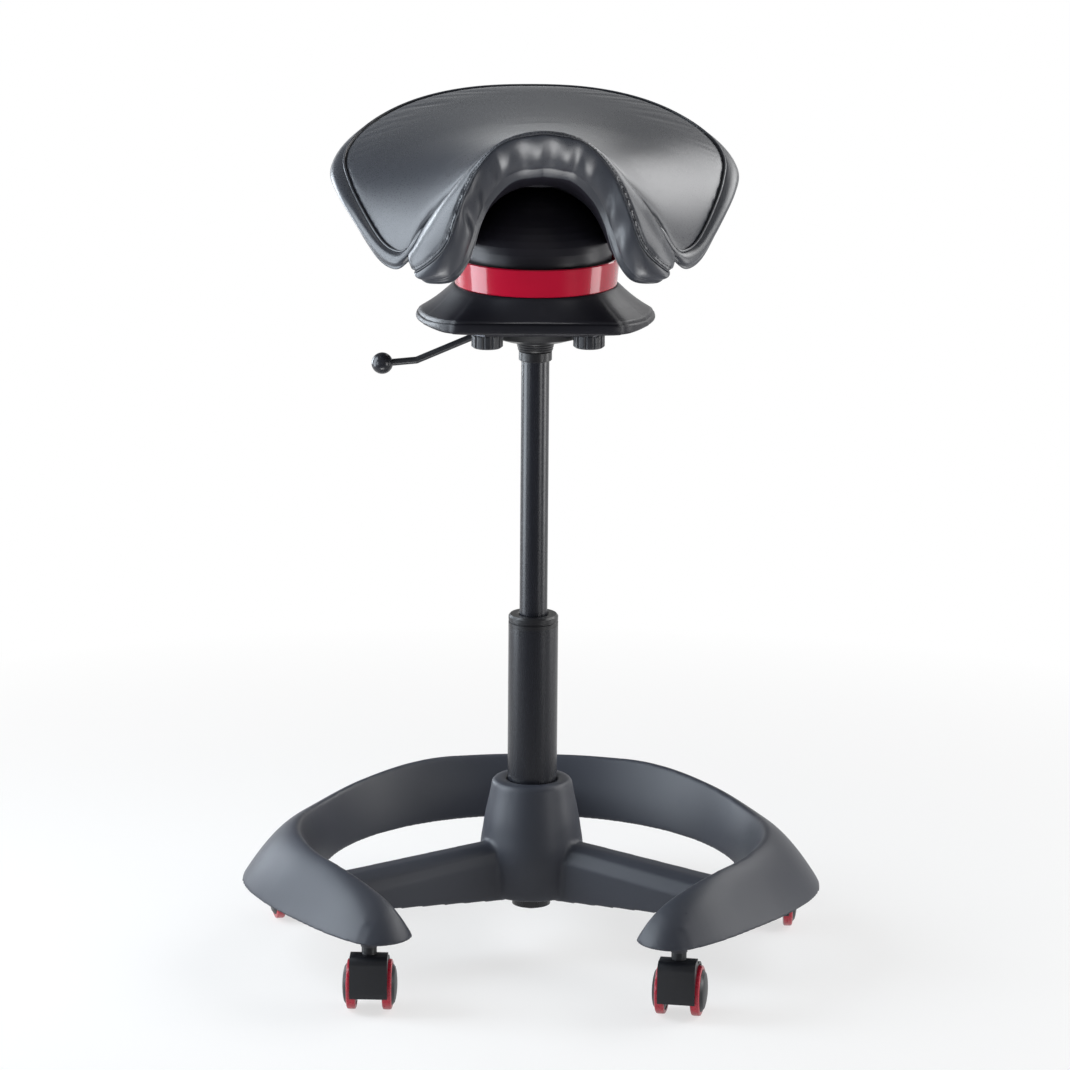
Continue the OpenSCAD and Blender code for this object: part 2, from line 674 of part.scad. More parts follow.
module rubber_stops() {
    stop_gap = 5;
    z0 = plate_top_z + 5;
    color("#111214") for (s = [-1, 1]) translate([0, s * (ear_in + ear_t / 2), z0])
        cylinder(r = 6, h = pivot_z - ear_half - stop_gap - z0, $fn = 32);
}

module rocker_cross() {
    pin_len = ear_in + ear_t + 2;
    color("#8b8e94") translate([0, 0, pivot_z]) {
        sphere(r = cross_core_r, $fn = 48);
        rotate([0, 90, 0]) translate([0, 0, -pin_len]) cylinder(r = cross_r, h = 2 * pin_len);
        rotate([90, 0, 0]) translate([0, 0, -pin_len]) cylinder(r = cross_r, h = 2 * pin_len);
    }
}

seat_plate_r = 50;
seat_plate_t = 6;
seat_plate_z = pivot_z + dome_r - 0.8;
post_r = 14;
bridge_z = pivot_z + 20;
seat_screw_r = 3;
seat_screw_at = 39;
seat_screw_deep = 14;

module upper_yoke() {
    color("#3a3c41") difference() {
        union() {
            rotate(90) yoke_ears(pivot_z, bridge_z + 1);
            rotate(90) for (s = [-1, 1]) translate([s > 0 ? ear_in : -ear_in - ear_t, 0, pivot_z])
                rotate([0, 90, 0]) cylinder(r = ear_half, h = ear_t);
            translate([-ear_half, -ear_in - ear_t, bridge_z]) cube([2 * ear_half, 2 * (ear_in + ear_t), 8]);
            translate([0, 0, bridge_z + 7]) cylinder(r = post_r, h = seat_plate_z - bridge_z - 6);
            translate([0, 0, seat_plate_z]) cylinder(r = seat_plate_r, h = seat_plate_t);
        }
        translate([0, ear_in + ear_t + 1, pivot_z]) rotate([90, 0, 0])
            cylinder(r = cross_r + run_gap, h = 2 * (ear_in + ear_t + 1));
        for (a = seat_screw_angles) rotate(a) translate([seat_screw_at, 0, seat_plate_z - 1])
            cylinder(r = seat_screw_r + set_gap, h = seat_plate_t + 2);
    }
}

// Dome: part of a sphere about the rocking centre, so it stays clear of the red band as it rocks
function dome_point(r, a) = [r * cos(a), pivot_z + r * sin(a)];

module under_dome() {
    rim_drop = 12;
    hole_r = post_r + 0.5;
    a0 = -asin(rim_drop / dome_r);
    a1 = acos(hole_r / dome_r);
    inner = dome_r - dome_wall;
    b1 = acos(hole_r / inner);
    steps = 16;
    color("#1f2023") rotate_extrude($fn = 96) polygon(concat(
        [for (i = [0 : steps]) dome_point(dome_r, lerp(a0, a1, i / steps))],
        [for (i = [steps : -1 : 0]) dome_point(inner, lerp(a0, b1, i / steps))]));
}

// Saddle. Its top is a ridge along Y with sides that fall ever more steeply towards the pommel.
pommel_y = -150;
fall_base = 6;
fall_len = 60;
fall_power = 2.4;
function ridge(y) = seat_low_z + (y < 0 ? pommel_rise * pow(y / pommel_y, 2)
    : rear_rise * pow(y / 150, 1.5));
function fall(y) = fall_base + drape * exp(-(y - pommel_y) / fall_len);
function saddle_z(x, y) = ridge(y) - fall(y) * pow(abs(x) / 100, fall_power);
function slope_x(x, y) = -fall(y) * fall_power / 100 * pow(abs(x) / 100, fall_power - 1) * sign(x);
function slope_y(x, y) = (saddle_z(x, y + 1) - saddle_z(x, y - 1)) / 2;
function saddle_normal(x, y) = unit([-slope_x(x, y), -slope_y(x, y), 1]);

// The padding and its shell thin out towards the front corners, so every depth is scaled
corner_thin = 0.52;
corner_inner_x = 75;
corner_outer_x = 140;
corner_back_y = 130;
corner_fade = 100;
function thinned(x, y) = lerp(1, corner_thin, ease((abs(x) - corner_inner_x)
    / (corner_outer_x - corner_inner_x)) * ease((corner_back_y - y) / corner_fade));
function saddle(x, y, depth) = [x, y, saddle_z(x, y)] - depth * thinned(x, y) * saddle_normal(x, y);

// The main panel's seam in plan, from the middle of the back to the middle of the pommel
corner_i = 9;
half_seam = [[0, 172], [62, 168], [114, 152], [153, 124], [179, 88], [189, 48], [184, 4], [172, -38],
    [156, -76], [140, -101], [128, -112], [117, -113], [104, -117], [86, -125], [66, -132], [42, -138],
    [0, -141]];
seam_rail = concat([mirrored(half_seam[1])], half_seam, [mirrored(half_seam[15])]);
function seam(t) = spline(seam_rail, t + 1);
half_n = len(half_seam) - 1;
seam_steps = 2;
seam_ts = [for (i = [0 : half_n * seam_steps]) i / seam_steps];
seam_loop = concat([for (t = seam_ts) seam(t)],
    [for (i = [len(seam_ts) - 2 : -1 : 1]) mirrored(seam(seam_ts[i]))]);
seat_mid = [0, -12];

// The pommel's front leans back under its top, and with it the padding and the shell
nose_lean = 15;
nose_half_w = 50;
nose_from = 60;
nose_fade = 80;
function nose_near(q) = exp(-pow(q[0] / nose_half_w, 2)) * ease((-q[1] - nose_from) / nose_fade);
function leant(q, depth) = [q[0], q[1] + nose_lean * nose_near(q) * depth / pad_t];
function seam_ring(scale, depth) = [for (p = seam_loop) let(q = leant(lerp(seat_mid, p, scale), depth))
    saddle(q[0], q[1], depth)];

// The cushion's underside and the shell under it share these rings, from the edge inwards
shell_scales = [0.955, 0.78, 0.55, 0.3, 0.04];

module seat_cushion() {
    top = [for (s = [0.04, 0.2, 0.4, 0.58, 0.74, 0.86, 0.94]) seam_ring(s, 0)];
    edge = [seam_ring(0.975, 1.2), seam_ring(0.995, 3.6), seam_ring(0.995, pad_t * 0.6)];
    bottom = [for (s = concat([0.98], shell_scales)) seam_ring(s, pad_t)];
    color("#2e3138") skin(concat(top, edge, bottom));
}

module seat_shell() {
    in = pad_t + soft_gap;
    out = in + shell_t;
    top = [for (s = shell_scales) seam_ring(s, in)];
    bottom = [for (i = [len(shell_scales) - 1 : -1 : 0]) seam_ring(shell_scales[i], out)];
    color("#1a1b1e") difference() {
        union() {
            skin(concat(bottom, top));
            shell_bosses(in);
        }
        for (a = seat_screw_angles) rotate(a) translate([seat_screw_at, 0, seat_plate_z])
            cylinder(r = seat_screw_r + set_gap, h = seat_screw_deep, $fn = 32);
    }
}

// Bosses under the shell, standing on the seat plate
module shell_bosses(in) {
    for (a = seat_screw_angles) let(x = seat_screw_at * cos(a), y = seat_screw_at * sin(a))
        translate([x, y, seat_plate_z + seat_plate_t])
            cylinder(r = 9, h = saddle_z(x, y) - in - 4 - seat_plate_z - seat_plate_t, $fn = 32);
}

module seat_screws() {
    head_h = 3;
    color("#4a4c50") for (a = seat_screw_angles) rotate(a) translate([seat_screw_at, 0, seat_plate_z]) {
        translate([0, 0, -head_h]) cylinder(r = 5.4, h = head_h, $fn = 32);
        cylinder(r = seat_screw_r, h = seat_plate_t + 7, $fn = 32);
    }
}

// Side band: bulges out round the edge from one front corner, past the back, to the other,
// and is turned in under the shell
function seam_side(t) = t < 0 ? mirrored(seam(-t)) : seam(t);
band_end = 9.4;
band_steps = 30;
band_profile = [[0.1, 0.01], [0.5, 0.06], [0.86, 0.2], [1, 0.42], [0.93, 0.64], [0.68, 0.84],
    [0.3, 0.97]];

function band_ring(t) = let(
    p = seam_side(t), q = seam_side(t + 0.02), o = seam_side(t - 0.02),
    out = unit([o[1] - q[1], q[0] - o[0], 0]),
    bulge = side_bulge * lerp(1, 0.45, ease((abs(t) - 5) / 3.5)),
    drop = side_h * lerp(1, 0.42, ease((abs(t) - 2.6) / 4)),
    hem = lerp(seat_mid, p, 0.965),
    inner = [for (d = [pad_t - 2, pad_t / 2, 2]) saddle(p[0], p[1], d) + soft_gap * out])
    concat([for (v = band_profile) saddle(p[0], p[1], 0) + bulge * v[0] * out - [0, 0, drop * v[1]]],
        [saddle(hem[0], hem[1], pad_t + shell_t + 2 * soft_gap + 1.5)], inner);

module side_band() {
    color("#26282e") skin([for (i = [-band_steps : band_steps]) band_ring(i * band_end / band_steps)]);
}

// Front of the saddle: three rails on each side, from the pommel's middle to the pad's tip.
// The seam rail is the main panel's edge, the fold rail the pads' stitched front edge,
// and the lip rail the lower edge of the arch. Their heights are above the ridge's lowest point.
front_ts = [16, 15, 14, 13, 12, 11, 10.4, 10, 9.6];
fold_rail = [[0, -157, 16], [34, -154, 8], [56, -151, -11], [72, -154, -38], [83, -158, -67],
    [92, -157, -92], [104, -150, -106], [117, -137, -115], [125, -127, -119]];
lip_rail = [[0, -128, -27], [28, -128, -32], [48, -130, -51], [60, -132, -74], [67, -135, -98],
    [74, -139, -117], [87, -144, -132], [107, -139, -135], [121, -128, -130]];
front_n = len(fold_rail) - 1;
front_steps = 4;

function at_side(f, s) = s < 0 ? mirrored(f) : f;
function front_seam(s, scale, depth) = let(t = spline([for (v = front_ts) [v, 0]], abs(s))[0],
    q = leant(lerp(seat_mid, seam(t), scale), depth))
    at_side(saddle(q[0], q[1], depth), s);
function fold_at(s) = [0, 0, seat_low_z] + at_side(spline(fold_rail, abs(s)), s);
function lip_at(s) = [0, 0, seat_low_z] + at_side(spline(lip_rail, abs(s)), s);

// Outward directions of the pads' top and of the lining's face
function fold_run(s) = fold_at(s + 0.05) - fold_at(s - 0.05);
function pad_out(s) = unit(cross(fold_at(s) - front_seam(s, 1, 0), fold_run(s)));
function lining_out(s) = unit(cross(lip_at(s) - fold_at(s), fold_run(s)));

// A pad's section: from the seam over a soft crown to the fold, down behind the lining,
// and back up along the cushion's edge
function pad_ring(s) = let(
    a = front_seam(s, 1, 0), f = fold_at(s), l = lip_at(s), up = pad_out(s), out = lining_out(s),
    e = unit(f - a), w = norm(f - a), puff = min(4, 0.12 * w), back = lining_t + soft_gap)
    [front_seam(s, 1.006, 4), a + e - 1.2 * up, lerp(a, f, 0.22) + 0.8 * puff * up,
     lerp(a, f, 0.5) + puff * up, lerp(a, f, 0.8) + 0.7 * puff * up, f - 0.9 * e,
     lerp(f, l, 0.08) - 1.9 * out, lerp(f, l, 0.3) - back * out, lerp(f, l, 0.62) - back * out,
     lerp(f, l, 0.86) - back * out, front_seam(s, 1, pad_t - 2), front_seam(s, 1.002, pad_t / 2)];

module thigh_pads() {
    n = front_n * front_steps;
    color("#3a3d45") skin([for (i = [-n : n]) pad_ring(i / front_steps)]);
}

// Lining: from the fold down over the arch's front, round its lip and under the shell,
// gathered round the crown
gather_turns = 0.75;
function gathers(s) = gather * cos(s * 360 * gather_turns) * ease((3.4 - abs(s)) / 1.6);
function lining_ring(s) = let(
    f = fold_at(s), l = lip_at(s), out = lining_out(s), wave = gathers(s), t = lining_t,
    under = lerp(1.2, 5.5, ease((abs(s) - 4.5) / 2)), low = unit(l - front_seam(s, 1, 0)),
    b = front_seam(s, 0.86, pad_t + shell_t + 2 * soft_gap + under))
    [f - 0.3 * out + 0.03 * (l - f), lerp(f, l, 0.25) + (1.4 + 0.4 * wave) * out,
     lerp(f, l, 0.6) + (2 + wave) * out, lerp(f, l, 0.88) + (1 + 0.7 * wave) * out, l + 0.3 * wave * out,
     lerp(l, b, 0.5) + 0.6 * t * low, b + 0.5 * t * low, b, lerp(l, b, 0.5) + 0.8 * low,
     l - 0.7 * t * out + 0.04 * (f - l), lerp(f, l, 0.86) - 0.8 * t * out,
     lerp(f, l, 0.62) - 0.9 * t * out, lerp(f, l, 0.3) - t * out, lerp(f, l, 0.09) - 1.5 * out];

module arch_lining() {
    n = front_n * front_steps;
    color("#23252a") skin([for (i = [-n : n]) lining_ring(i / front_steps)]);
}

// Casters

hub_gap = 0.6;
hood_gap = 1.4;
hood_wall = 2.4;
hood_r = wheel_r + hood_gap + hood_wall;
hood_low_z = 18;
hood_back_h = 10;
hood_corner = 8;
wheel_in = wheel_gap / 2;

// Hood seen from the side: x is the trailing direction, y is up
module hood_outline() {
    difference() {
        union() {
            translate([trail, wheel_r]) circle(hood_r);
            translate([trail - hood_r, wheel_r]) square([hood_r, hood_top_z - hood_corner - wheel_r]);
            translate([trail - hood_r + hood_corner, hood_top_z - hood_corner])
                circle(hood_corner, $fn = 32);
            translate([trail - hood_r + hood_corner, wheel_r])
                square([hood_corner + 6, hood_top_z - wheel_r]);
        }
        translate([trail - 2 * hood_r, wheel_r - 2 * hood_r])
            square([4 * hood_r, 2 * hood_r - wheel_r + hood_low_z]);
        translate([trail, wheel_r - 2 * hood_r]) square([2 * hood_r, 2 * hood_r + hood_back_h]);
    }
}

// The web between the wheels carries the axle in a round boss
module hood_web() {
    boss = axle_r + 5.5;
    hood_outline();
    translate([trail, wheel_r]) circle(boss, $fn = 32);
    translate([trail - hood_r + 4, wheel_r - boss + 1.5]) square([hood_r - 4, 2 * boss - 3]);
}

neck_top_z = ring_bottom_z - flange_h - 0.3;

module caster_hood(k) {
    web_w = wheel_gap - 2 * hub_gap;
    color("#2c2f35") at_caster(k) difference() {
        union() {
            translate([-hood_w / 2, 0, 0]) rotate([90, 0, 90]) linear_extrude(hood_w) difference() {
                hood_outline();
                translate([trail, wheel_r]) circle(wheel_r + hood_gap);
            }
            translate([-web_w / 2, 0, 0]) rotate([90, 0, 90]) linear_extrude(web_w) hood_web();
            translate([0, 0, hood_top_z - 1]) cylinder(r = neck_r, h = neck_top_z - hood_top_z + 1);
        }
        translate([0, 0, spigot_z - 1]) cylinder(r = spigot_r + run_gap, h = ring_bottom_z);
        translate([-hood_w, trail, wheel_r]) rotate([0, 90, 0]) cylinder(r = axle_r + 0.02, h = 2 * hood_w);
    }
}

axle_half = wheel_in + tread_w - 1.5;

module caster_axle(k) {
    color("#9a9da3") at_caster(k) translate([-axle_half, trail, wheel_r]) rotate([0, 90, 0])
        cylinder(r = axle_r, h = 2 * axle_half);
}

// A wheel's profile runs from the hub out: r is the distance from the axle, x from its inner face
module wheel(k, side) {
    bore_depth = tread_w - 1.2;
    dome_steps = 6;
    cap = [for (i = [0 : dome_steps]) let(t = i / dome_steps) [cap_r * (1 - t),
        tread_w + cap_bulge * sqrt(1 - pow(1 - t, 2))]];
    color("#1e2024") at_caster(k) translate([0, trail, wheel_r]) rotate([0, side * 90, 0])
        translate([0, 0, wheel_in]) rotate_extrude() polygon(concat([[0, bore_depth],
            [axle_r + run_gap, bore_depth], [axle_r + run_gap, 0], [cap_r - 4, 0], [cap_r - 2.4, 1.2],
            [cap_r, 1.2]], cap));
}

module tread(k, side) {
    corner = 1.4;
    color("#c4173c") at_caster(k) translate([0, trail, wheel_r]) rotate([0, side * 90, 0])
        translate([0, 0, wheel_in]) rotate_extrude() polygon([[cap_r + 0.05, 0.4],
            [wheel_r - corner - 0.8, 0], [wheel_r - 0.4, corner * 0.6], [wheel_r, corner * 1.6],
            [wheel_r, tread_w - corner * 1.6], [wheel_r - 0.4, tread_w - corner * 0.6],
            [wheel_r - corner - 0.8, tread_w], [cap_r + 0.05, tread_w - 0.3]]);
}

module upper() {
    rotate(seat_turn) children();
}

base_frame();
stand_tube();
guide_bush();
caster_stems();
piston_rod();
retaining_clip();
thrust_bearing();
pressure_tube();
tube_collar();
upper() column_socket();
upper() mechanism_plate();
upper() mechanism_cover();
upper() cover_screws();
upper() red_band();
release_pin();
upper() lever_rod();
upper() lever_ball();
upper() knob(-1);  // knob_left
upper() knob(1);  // knob_right
upper() lower_yoke();
upper() rubber_stops();
upper() rocker_cross();
upper() upper_yoke();
upper() under_dome();
upper() seat_shell();
upper() seat_screws();
upper() seat_cushion();
upper() thigh_pads();
upper() arch_lining();
upper() side_band();
for (k = [0 : caster_n - 1]) {
    base = str("caster_", caster_names[k], "_");
    caster_hood(k);
    caster_axle(k);
    wheel(k, -1);
    tread(k, -1);
    wheel(k, 1);
    tread(k, 1);
}
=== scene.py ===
# %% [markdown]
# # A saddle stool on an open ring base
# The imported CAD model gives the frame: tubes, yokes, wheels and knobs keep their exact shapes.
# This script adds what a viewer sees first: the moulded ring base with soft blends, the padded
# leather saddle with its seams and stitches, and a finish for every surface.
# All lengths in the shape formulas are millimetres, and turn into metres when a mesh is made.

# %% Load the frame and keep the size of its box
import json
import math

import bpy
import numpy as np
from mathutils import Matrix, Vector
from mathutils.bvhtree import BVHTree


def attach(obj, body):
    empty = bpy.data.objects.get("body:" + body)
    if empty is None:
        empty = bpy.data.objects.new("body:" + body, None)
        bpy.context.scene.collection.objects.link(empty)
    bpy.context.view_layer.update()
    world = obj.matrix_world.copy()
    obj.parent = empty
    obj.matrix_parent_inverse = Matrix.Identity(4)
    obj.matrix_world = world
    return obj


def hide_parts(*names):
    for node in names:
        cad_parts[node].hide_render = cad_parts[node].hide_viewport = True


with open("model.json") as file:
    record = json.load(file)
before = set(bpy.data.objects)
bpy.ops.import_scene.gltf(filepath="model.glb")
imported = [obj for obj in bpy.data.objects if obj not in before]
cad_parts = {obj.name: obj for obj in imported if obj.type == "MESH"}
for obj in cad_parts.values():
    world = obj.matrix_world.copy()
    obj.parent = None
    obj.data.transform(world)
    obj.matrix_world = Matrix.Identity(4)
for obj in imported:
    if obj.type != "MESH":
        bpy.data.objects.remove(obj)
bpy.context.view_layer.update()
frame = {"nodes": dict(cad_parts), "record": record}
nodes = frame["nodes"]


def add_object(name, data):
    """A new object in the scene, at the origin."""
    obj = bpy.data.objects.new(name, data)
    bpy.context.scene.collection.objects.link(obj)
    return obj

# %% [markdown]
# ## Camera
# The photograph was taken with a long lens, a little above the seat's height. A long lens keeps
# the sides of the column nearly parallel. The camera's place was solved from the tubes, whose
# diameters are standard, and it is written here as a distance, a height and three angles.

# %% Set the camera where the photograph's camera stood
CAMERA_FAR, CAMERA_HIGH, CAMERA_ASIDE = 5.000, 1.651, 0.001
FOCAL_PX, PHOTO_PX = 5141.0, 1070.0
PITCH, ROLL, ROUND = (math.radians(a) for a in (13.69, 0.45, 1.81))
right = Vector((math.cos(ROUND), math.sin(ROUND), 0))
ahead = Vector((-math.sin(ROUND) * math.cos(PITCH), math.cos(ROUND) * math.cos(PITCH), -math.sin(PITCH)))
upward = right.cross(ahead)
level = right * math.cos(ROLL) + upward * math.sin(ROLL)
upright = upward * math.cos(ROLL) - right * math.sin(ROLL)
place = Vector((CAMERA_FAR * math.sin(ROUND), -CAMERA_FAR * math.cos(ROUND), CAMERA_HIGH))
place += right * CAMERA_ASIDE
lens = bpy.data.cameras.new("photo_camera")
lens.sensor_width = 36
lens.lens = FOCAL_PX * lens.sensor_width / PHOTO_PX
lens.clip_end = 60
camera = add_object("photo_camera", lens)
camera.matrix_world = Matrix((level, upright, -ahead)).transposed().to_4x4()
camera.location = place
bpy.context.scene.camera = camera
bpy.context.scene.view_settings.view_transform = "Standard"
print("lens", round(lens.lens, 1), "mm, camera at", tuple(round(v, 3) for v in place))

# %% [markdown]
# ## Shader maths as expressions
# A finish is easier to read as a formula than as a drawing of nodes. The class Value wraps one
# socket, and its operators add Math nodes. The class Finish holds one material, adds any other
# node from its type, settings and sockets, and ends in a Principled BSDF.

# %% A socket that can be used in a formula
def plug(tree, socket, value):
    """Link a Value into a socket, or set the socket's own value."""
    if isinstance(value, Value):
        tree.links.new(value.socket, socket)
    elif isinstance(value, (tuple, list)) and socket.type == "RGBA":
        socket.default_value = (*value[:3], 1)
    else:
        socket.default_value = value


class Value:
    """One output socket. Arithmetic on it adds Math nodes to its material."""

    def __init__(self, tree, socket):
        self.tree, self.socket = tree, socket

    def math(self, operation, *others, clamp=False):
        node = self.tree.nodes.new("ShaderNodeMath")
        node.operation, node.use_clamp = operation, clamp
        for socket, value in zip(node.inputs, others):
            plug(self.tree, socket, value)
        return Value(self.tree, node.outputs[0])

    def __add__(self, other): return self.math("ADD", self, other)
    def __radd__(self, other): return self.math("ADD", other, self)
    def __sub__(self, other): return self.math("SUBTRACT", self, other)
    def __rsub__(self, other): return self.math("SUBTRACT", other, self)
    def __mul__(self, other): return self.math("MULTIPLY", self, other)
    def __rmul__(self, other): return self.math("MULTIPLY", other, self)

    def band(self, low, high):
        """0 below low, 1 above high, straight between."""
        return self.math("MULTIPLY", self - low, 1 / (high - low), clamp=True)


# %% A material that is built from formulas
class Finish:
    """One material: its nodes, its Object coordinates and its Principled BSDF."""

    def __init__(self, name):
        self.material = bpy.data.materials.new(name)
        self.material.use_nodes = True
        self.tree = self.material.node_tree
        self.tree.nodes.clear()
        self.place = self.node("TexCoord")["Object"]

    def node(self, kind, settings=None, sockets=None):
        """Add a node: its settings first, then the values or links of its sockets."""
        node = self.tree.nodes.new("ShaderNode" + kind)
        for key, value in (settings or {}).items():
            setattr(node, key, value)
        for key, value in (sockets or {}).items():
            plug(self.tree, node.inputs[key], value)
        return {s.name: Value(self.tree, s) for s in reversed(node.outputs)} | {"node": node}

    def axis(self, letter):
        """One Object coordinate, in metres."""
        return self.node("SeparateXYZ", None, {0: self.place})[letter]

    def stretched(self, x, y, z):
        """Object coordinates scaled on each axis, for grain that runs one way."""
        settings, sockets = {"vector_type": "POINT"}, {"Vector": self.place, "Scale": (x, y, z)}
        return self.node("Mapping", settings, sockets)["Vector"]

    def noise(self, scale, detail=2.0, rough=0.5, at=None):
        """Cloudy noise from 0 to 1; scale is in features per metre."""
        return self.node("TexNoise", None, {"Vector": at or self.place, "Scale": scale, "Detail": detail,
                                            "Roughness": rough})["Fac"]

    def cells(self, scale, feature, at=None):
        """Distance inside Voronoi cells, for pebbled leather."""
        sockets = {"Vector": at or self.place, "Scale": scale}
        return self.node("TexVoronoi", {"feature": feature}, sockets)["Distance"]

    def mix(self, first, second, factor):
        """A colour between two colours."""
        made = self.node("Mix", {"data_type": "RGBA"}, {0: factor, 6: first, 7: second})
        return Value(self.tree, made["node"].outputs[2])

    def bump(self, height, metres, strength):
        """A Normal from a height between 0 and 1 that is worth that many metres."""
        return self.node("Bump", None, {"Height": height, "Distance": metres, "Strength": strength})["Normal"]

    def done(self, **sockets):
        """End in a Principled BSDF with these sockets, and give the material."""
        names = {k.replace("_", " "): v for k, v in sockets.items()}
        shader = self.node("BsdfPrincipled", None, names)["BSDF"]
        self.node("OutputMaterial", None, {"Surface": shader})
        return self.material


print("shader helpers ready")

# %% [markdown]
# ## Floor, backdrop and light
# The stool stands on a plain white floor that runs out past the view. The floor is partly
# self-lit for camera rays, so it reads as white paper and still keeps the stool's soft shadow.
# Its glow is painted light as well: reflections see it dark in front of the stool and pale behind,
# and diffuse rays get a share of it, as light from below.
# Two tall softboxes stand close at the sides, down to the floor: they draw the long highlights on
# the tubes and the pale ends on the red band. Three more stand behind the shoulders of the seat for
# the leather. The two at the front and the card on the floor have a grid over them, which keeps
# their light on the seat, so the dark front of the column stays dark, as in a real studio.

# %% Make the floor
SHADOW_KEPT, SHADOW_OUT = 0.34, (0.35, 1.3)  # the share that shows, and where it fades out, in metres


def make_floor():
    """A flat square of 40 m: white paper for the camera, with the object's shadow on it. Its glow is also
    painted light: reflections see it dark in front of the stool and pale behind, and diffuse rays get a share
    of it.
    """
    finish = Finish("white_floor")
    path = finish.node("LightPath")
    behind = finish.axis("Y").band(-1.2, 0.4)
    out = finish.node("VectorMath", {"operation": "LENGTH"}, {0: finish.place})["Value"].band(*SHADOW_OUT)
    # Painted light: besides camera rays, the floor glows for glossy rays and, at 0.4, for diffuse rays.
    seen = ((path["Is Camera Ray"] + path["Is Transmission Ray"]) * (out * SHADOW_KEPT + (1 - SHADOW_KEPT))
            + path["Is Glossy Ray"] * 0.9 + path["Is Diffuse Ray"] * 0.4)
    # Painted reflection: for glossy rays the floor glows dark in front of the stool and pale behind it.
    mirrored = finish.mix((0.08, 0.08, 0.09), (0.85, 0.85, 0.85), behind)
    glow_colour = finish.mix((1, 1, 1), mirrored, path["Is Glossy Ray"])
    shade = finish.node("BsdfDiffuse", None, {"Color": (0.88, 0.88, 0.88)})["BSDF"]
    glow = finish.node("Emission", None, {"Color": glow_colour, "Strength": 1.0})["Emission"]
    both = finish.node("MixShader", None, {0: seen, 1: shade, 2: glow})["Shader"]
    finish.node("OutputMaterial", None, {"Surface": both})
    corners = np.array([(-20, -20, 0), (20, -20, 0), (20, 20, 0), (-20, 20, 0)], float)
    mesh = bpy.data.meshes.new("floor")
    mesh.from_pydata((corners - (0, 0, 0.0005)).tolist(), [], [(0, 1, 2, 3)])
    mesh.materials.append(finish.material)
    add_object("floor", mesh)


make_floor()
print("floor made")

# %% Make the sky and the softboxes
ROOM = 0.20


def make_sky():
    """A world that is white to the camera and through glass. Reflections see the white backdrop low
    behind the stool, and the rest of the room lights it at a plain, lower level."""
    world = bpy.data.worlds.new("studio")
    bpy.context.scene.world = world
    world.use_nodes = True
    tree = world.node_tree
    tree.nodes.clear()
    path, coord, split, sky, out = (tree.nodes.new("ShaderNode" + kind) for kind in (
        "LightPath", "TexCoord", "SeparateXYZ", "Background", "OutputWorld"))
    tree.links.new(coord.outputs["Generated"], split.inputs[0])
    ahead_of, above = Value(tree, split.outputs["Y"]), Value(tree, split.outputs["Z"])
    backdrop = ahead_of.band(0.1, 0.7) * (1 - above.band(0.05, 0.30))
    seen, through, glossy = (Value(tree, path.outputs[f"Is {kind} Ray"])
                             for kind in ("Camera", "Transmission", "Glossy"))
    plug(tree, sky.inputs["Strength"], (seen + through) * (1 - ROOM) + glossy * backdrop * 0.8 + ROOM)
    plug(tree, sky.inputs["Color"], (1, 1, 1))
    tree.links.new(sky.outputs[0], out.inputs[0])


def softbox(name, spot, aim, width, height, watts, tint=(1, 1, 1), spread=180):
    """A rectangular lamp at spot that faces aim. A grid on it narrows its light to spread degrees."""
    lamp = bpy.data.lights.new(name, "AREA")
    lamp.shape, lamp.size, lamp.size_y, lamp.energy, lamp.color = "RECTANGLE", width, height, watts, tint
    lamp.spread = math.radians(spread)
    obj = add_object(name, lamp)
    obj.matrix_world = (Vector(spot) - Vector(aim)).to_track_quat("Z", "Y").to_matrix().to_4x4()
    obj.location = spot
    obj.visible_camera = False


make_sky()
COOL, PLAIN = (0.84, 0.92, 1.0), (1, 1, 1)
softbox("left_side", (-1.30, -0.10, 0.92), (0, 0, 0.7), 0.75, 1.8, 28, COOL)
softbox("right_side", (1.40, 0.10, 0.92), (0, 0, 0.7), 0.5, 1.8, 12)
softbox("left_shoulder", (-1.85, 0.6, 1.5), (0, 0, 0.8), 0.9, 0.7, 0.75, COOL, 90)
softbox("left_back", (-1.25, 1.05, 0.8), (0, 0, 0.8), 0.5, 1.0, 2.2, COOL, 60)
softbox("right_shoulder", (1.25, 1.15, 1.75), (0, 0, 0.8), 1.5, 1.1, 3.2, PLAIN, 60)
softbox("floor_card", (0, -0.5, 0.03), (0, -0.14, 0.84), 0.7, 0.3, 0.8, PLAIN, 60)
softbox("front_left", (-1.9, -1.5, 0.8), (0, -0.1, 0.78), 0.9, 1.2, 1.6, COOL, 50)
softbox("front_right", (1.9, -1.5, 0.6), (0, -0.1, 0.78), 0.7, 1.2, 1.2, PLAIN, 50)
softbox("overhead", (-0.3, 0.2, 2.9), (0, 0, 0.5), 1.6, 1.0, 5)

# %% [markdown]
# ## Finishes
# Every surface on the stool is smooth in the large and busy in the small. Moulded plastic has a
# fine spark-eroded grain and faint flow marks, powder-coated tube has a tiny orange peel, leather
# has pebbles with a soft sheen, and the red parts are wet-looking polyurethane.

# %% Moulded plastic and rubber
def moulded(name, colour, rough, grain=0.5, scuff=0.08, size=1400, mirror=0.5):
    """Moulded plastic: colour times slow clouds, roughness from fine noise, grain as a small bump."""
    f = Finish(name)
    slow = f.noise(9, 3)
    fine = f.noise(size, 2, 0.6)
    rubbed = f.noise(60, 6, 0.7).band(0.56, 0.74)
    dark = tuple(c * 0.86 for c in colour)
    pale = tuple(min(1, c * 1.14 + 0.003) for c in colour)
    paint = f.mix(f.mix(dark, pale, slow), tuple(min(1, c * 1.5 + 0.03) for c in colour), rubbed * scuff)
    surface = f.bump(fine, 0.00006, grain)
    return f.done(Base_Color=paint, Roughness=fine * 0.10 + rubbed * 0.08 + (rough - 0.07), Normal=surface,
                  Specular_IOR_Level=mirror)


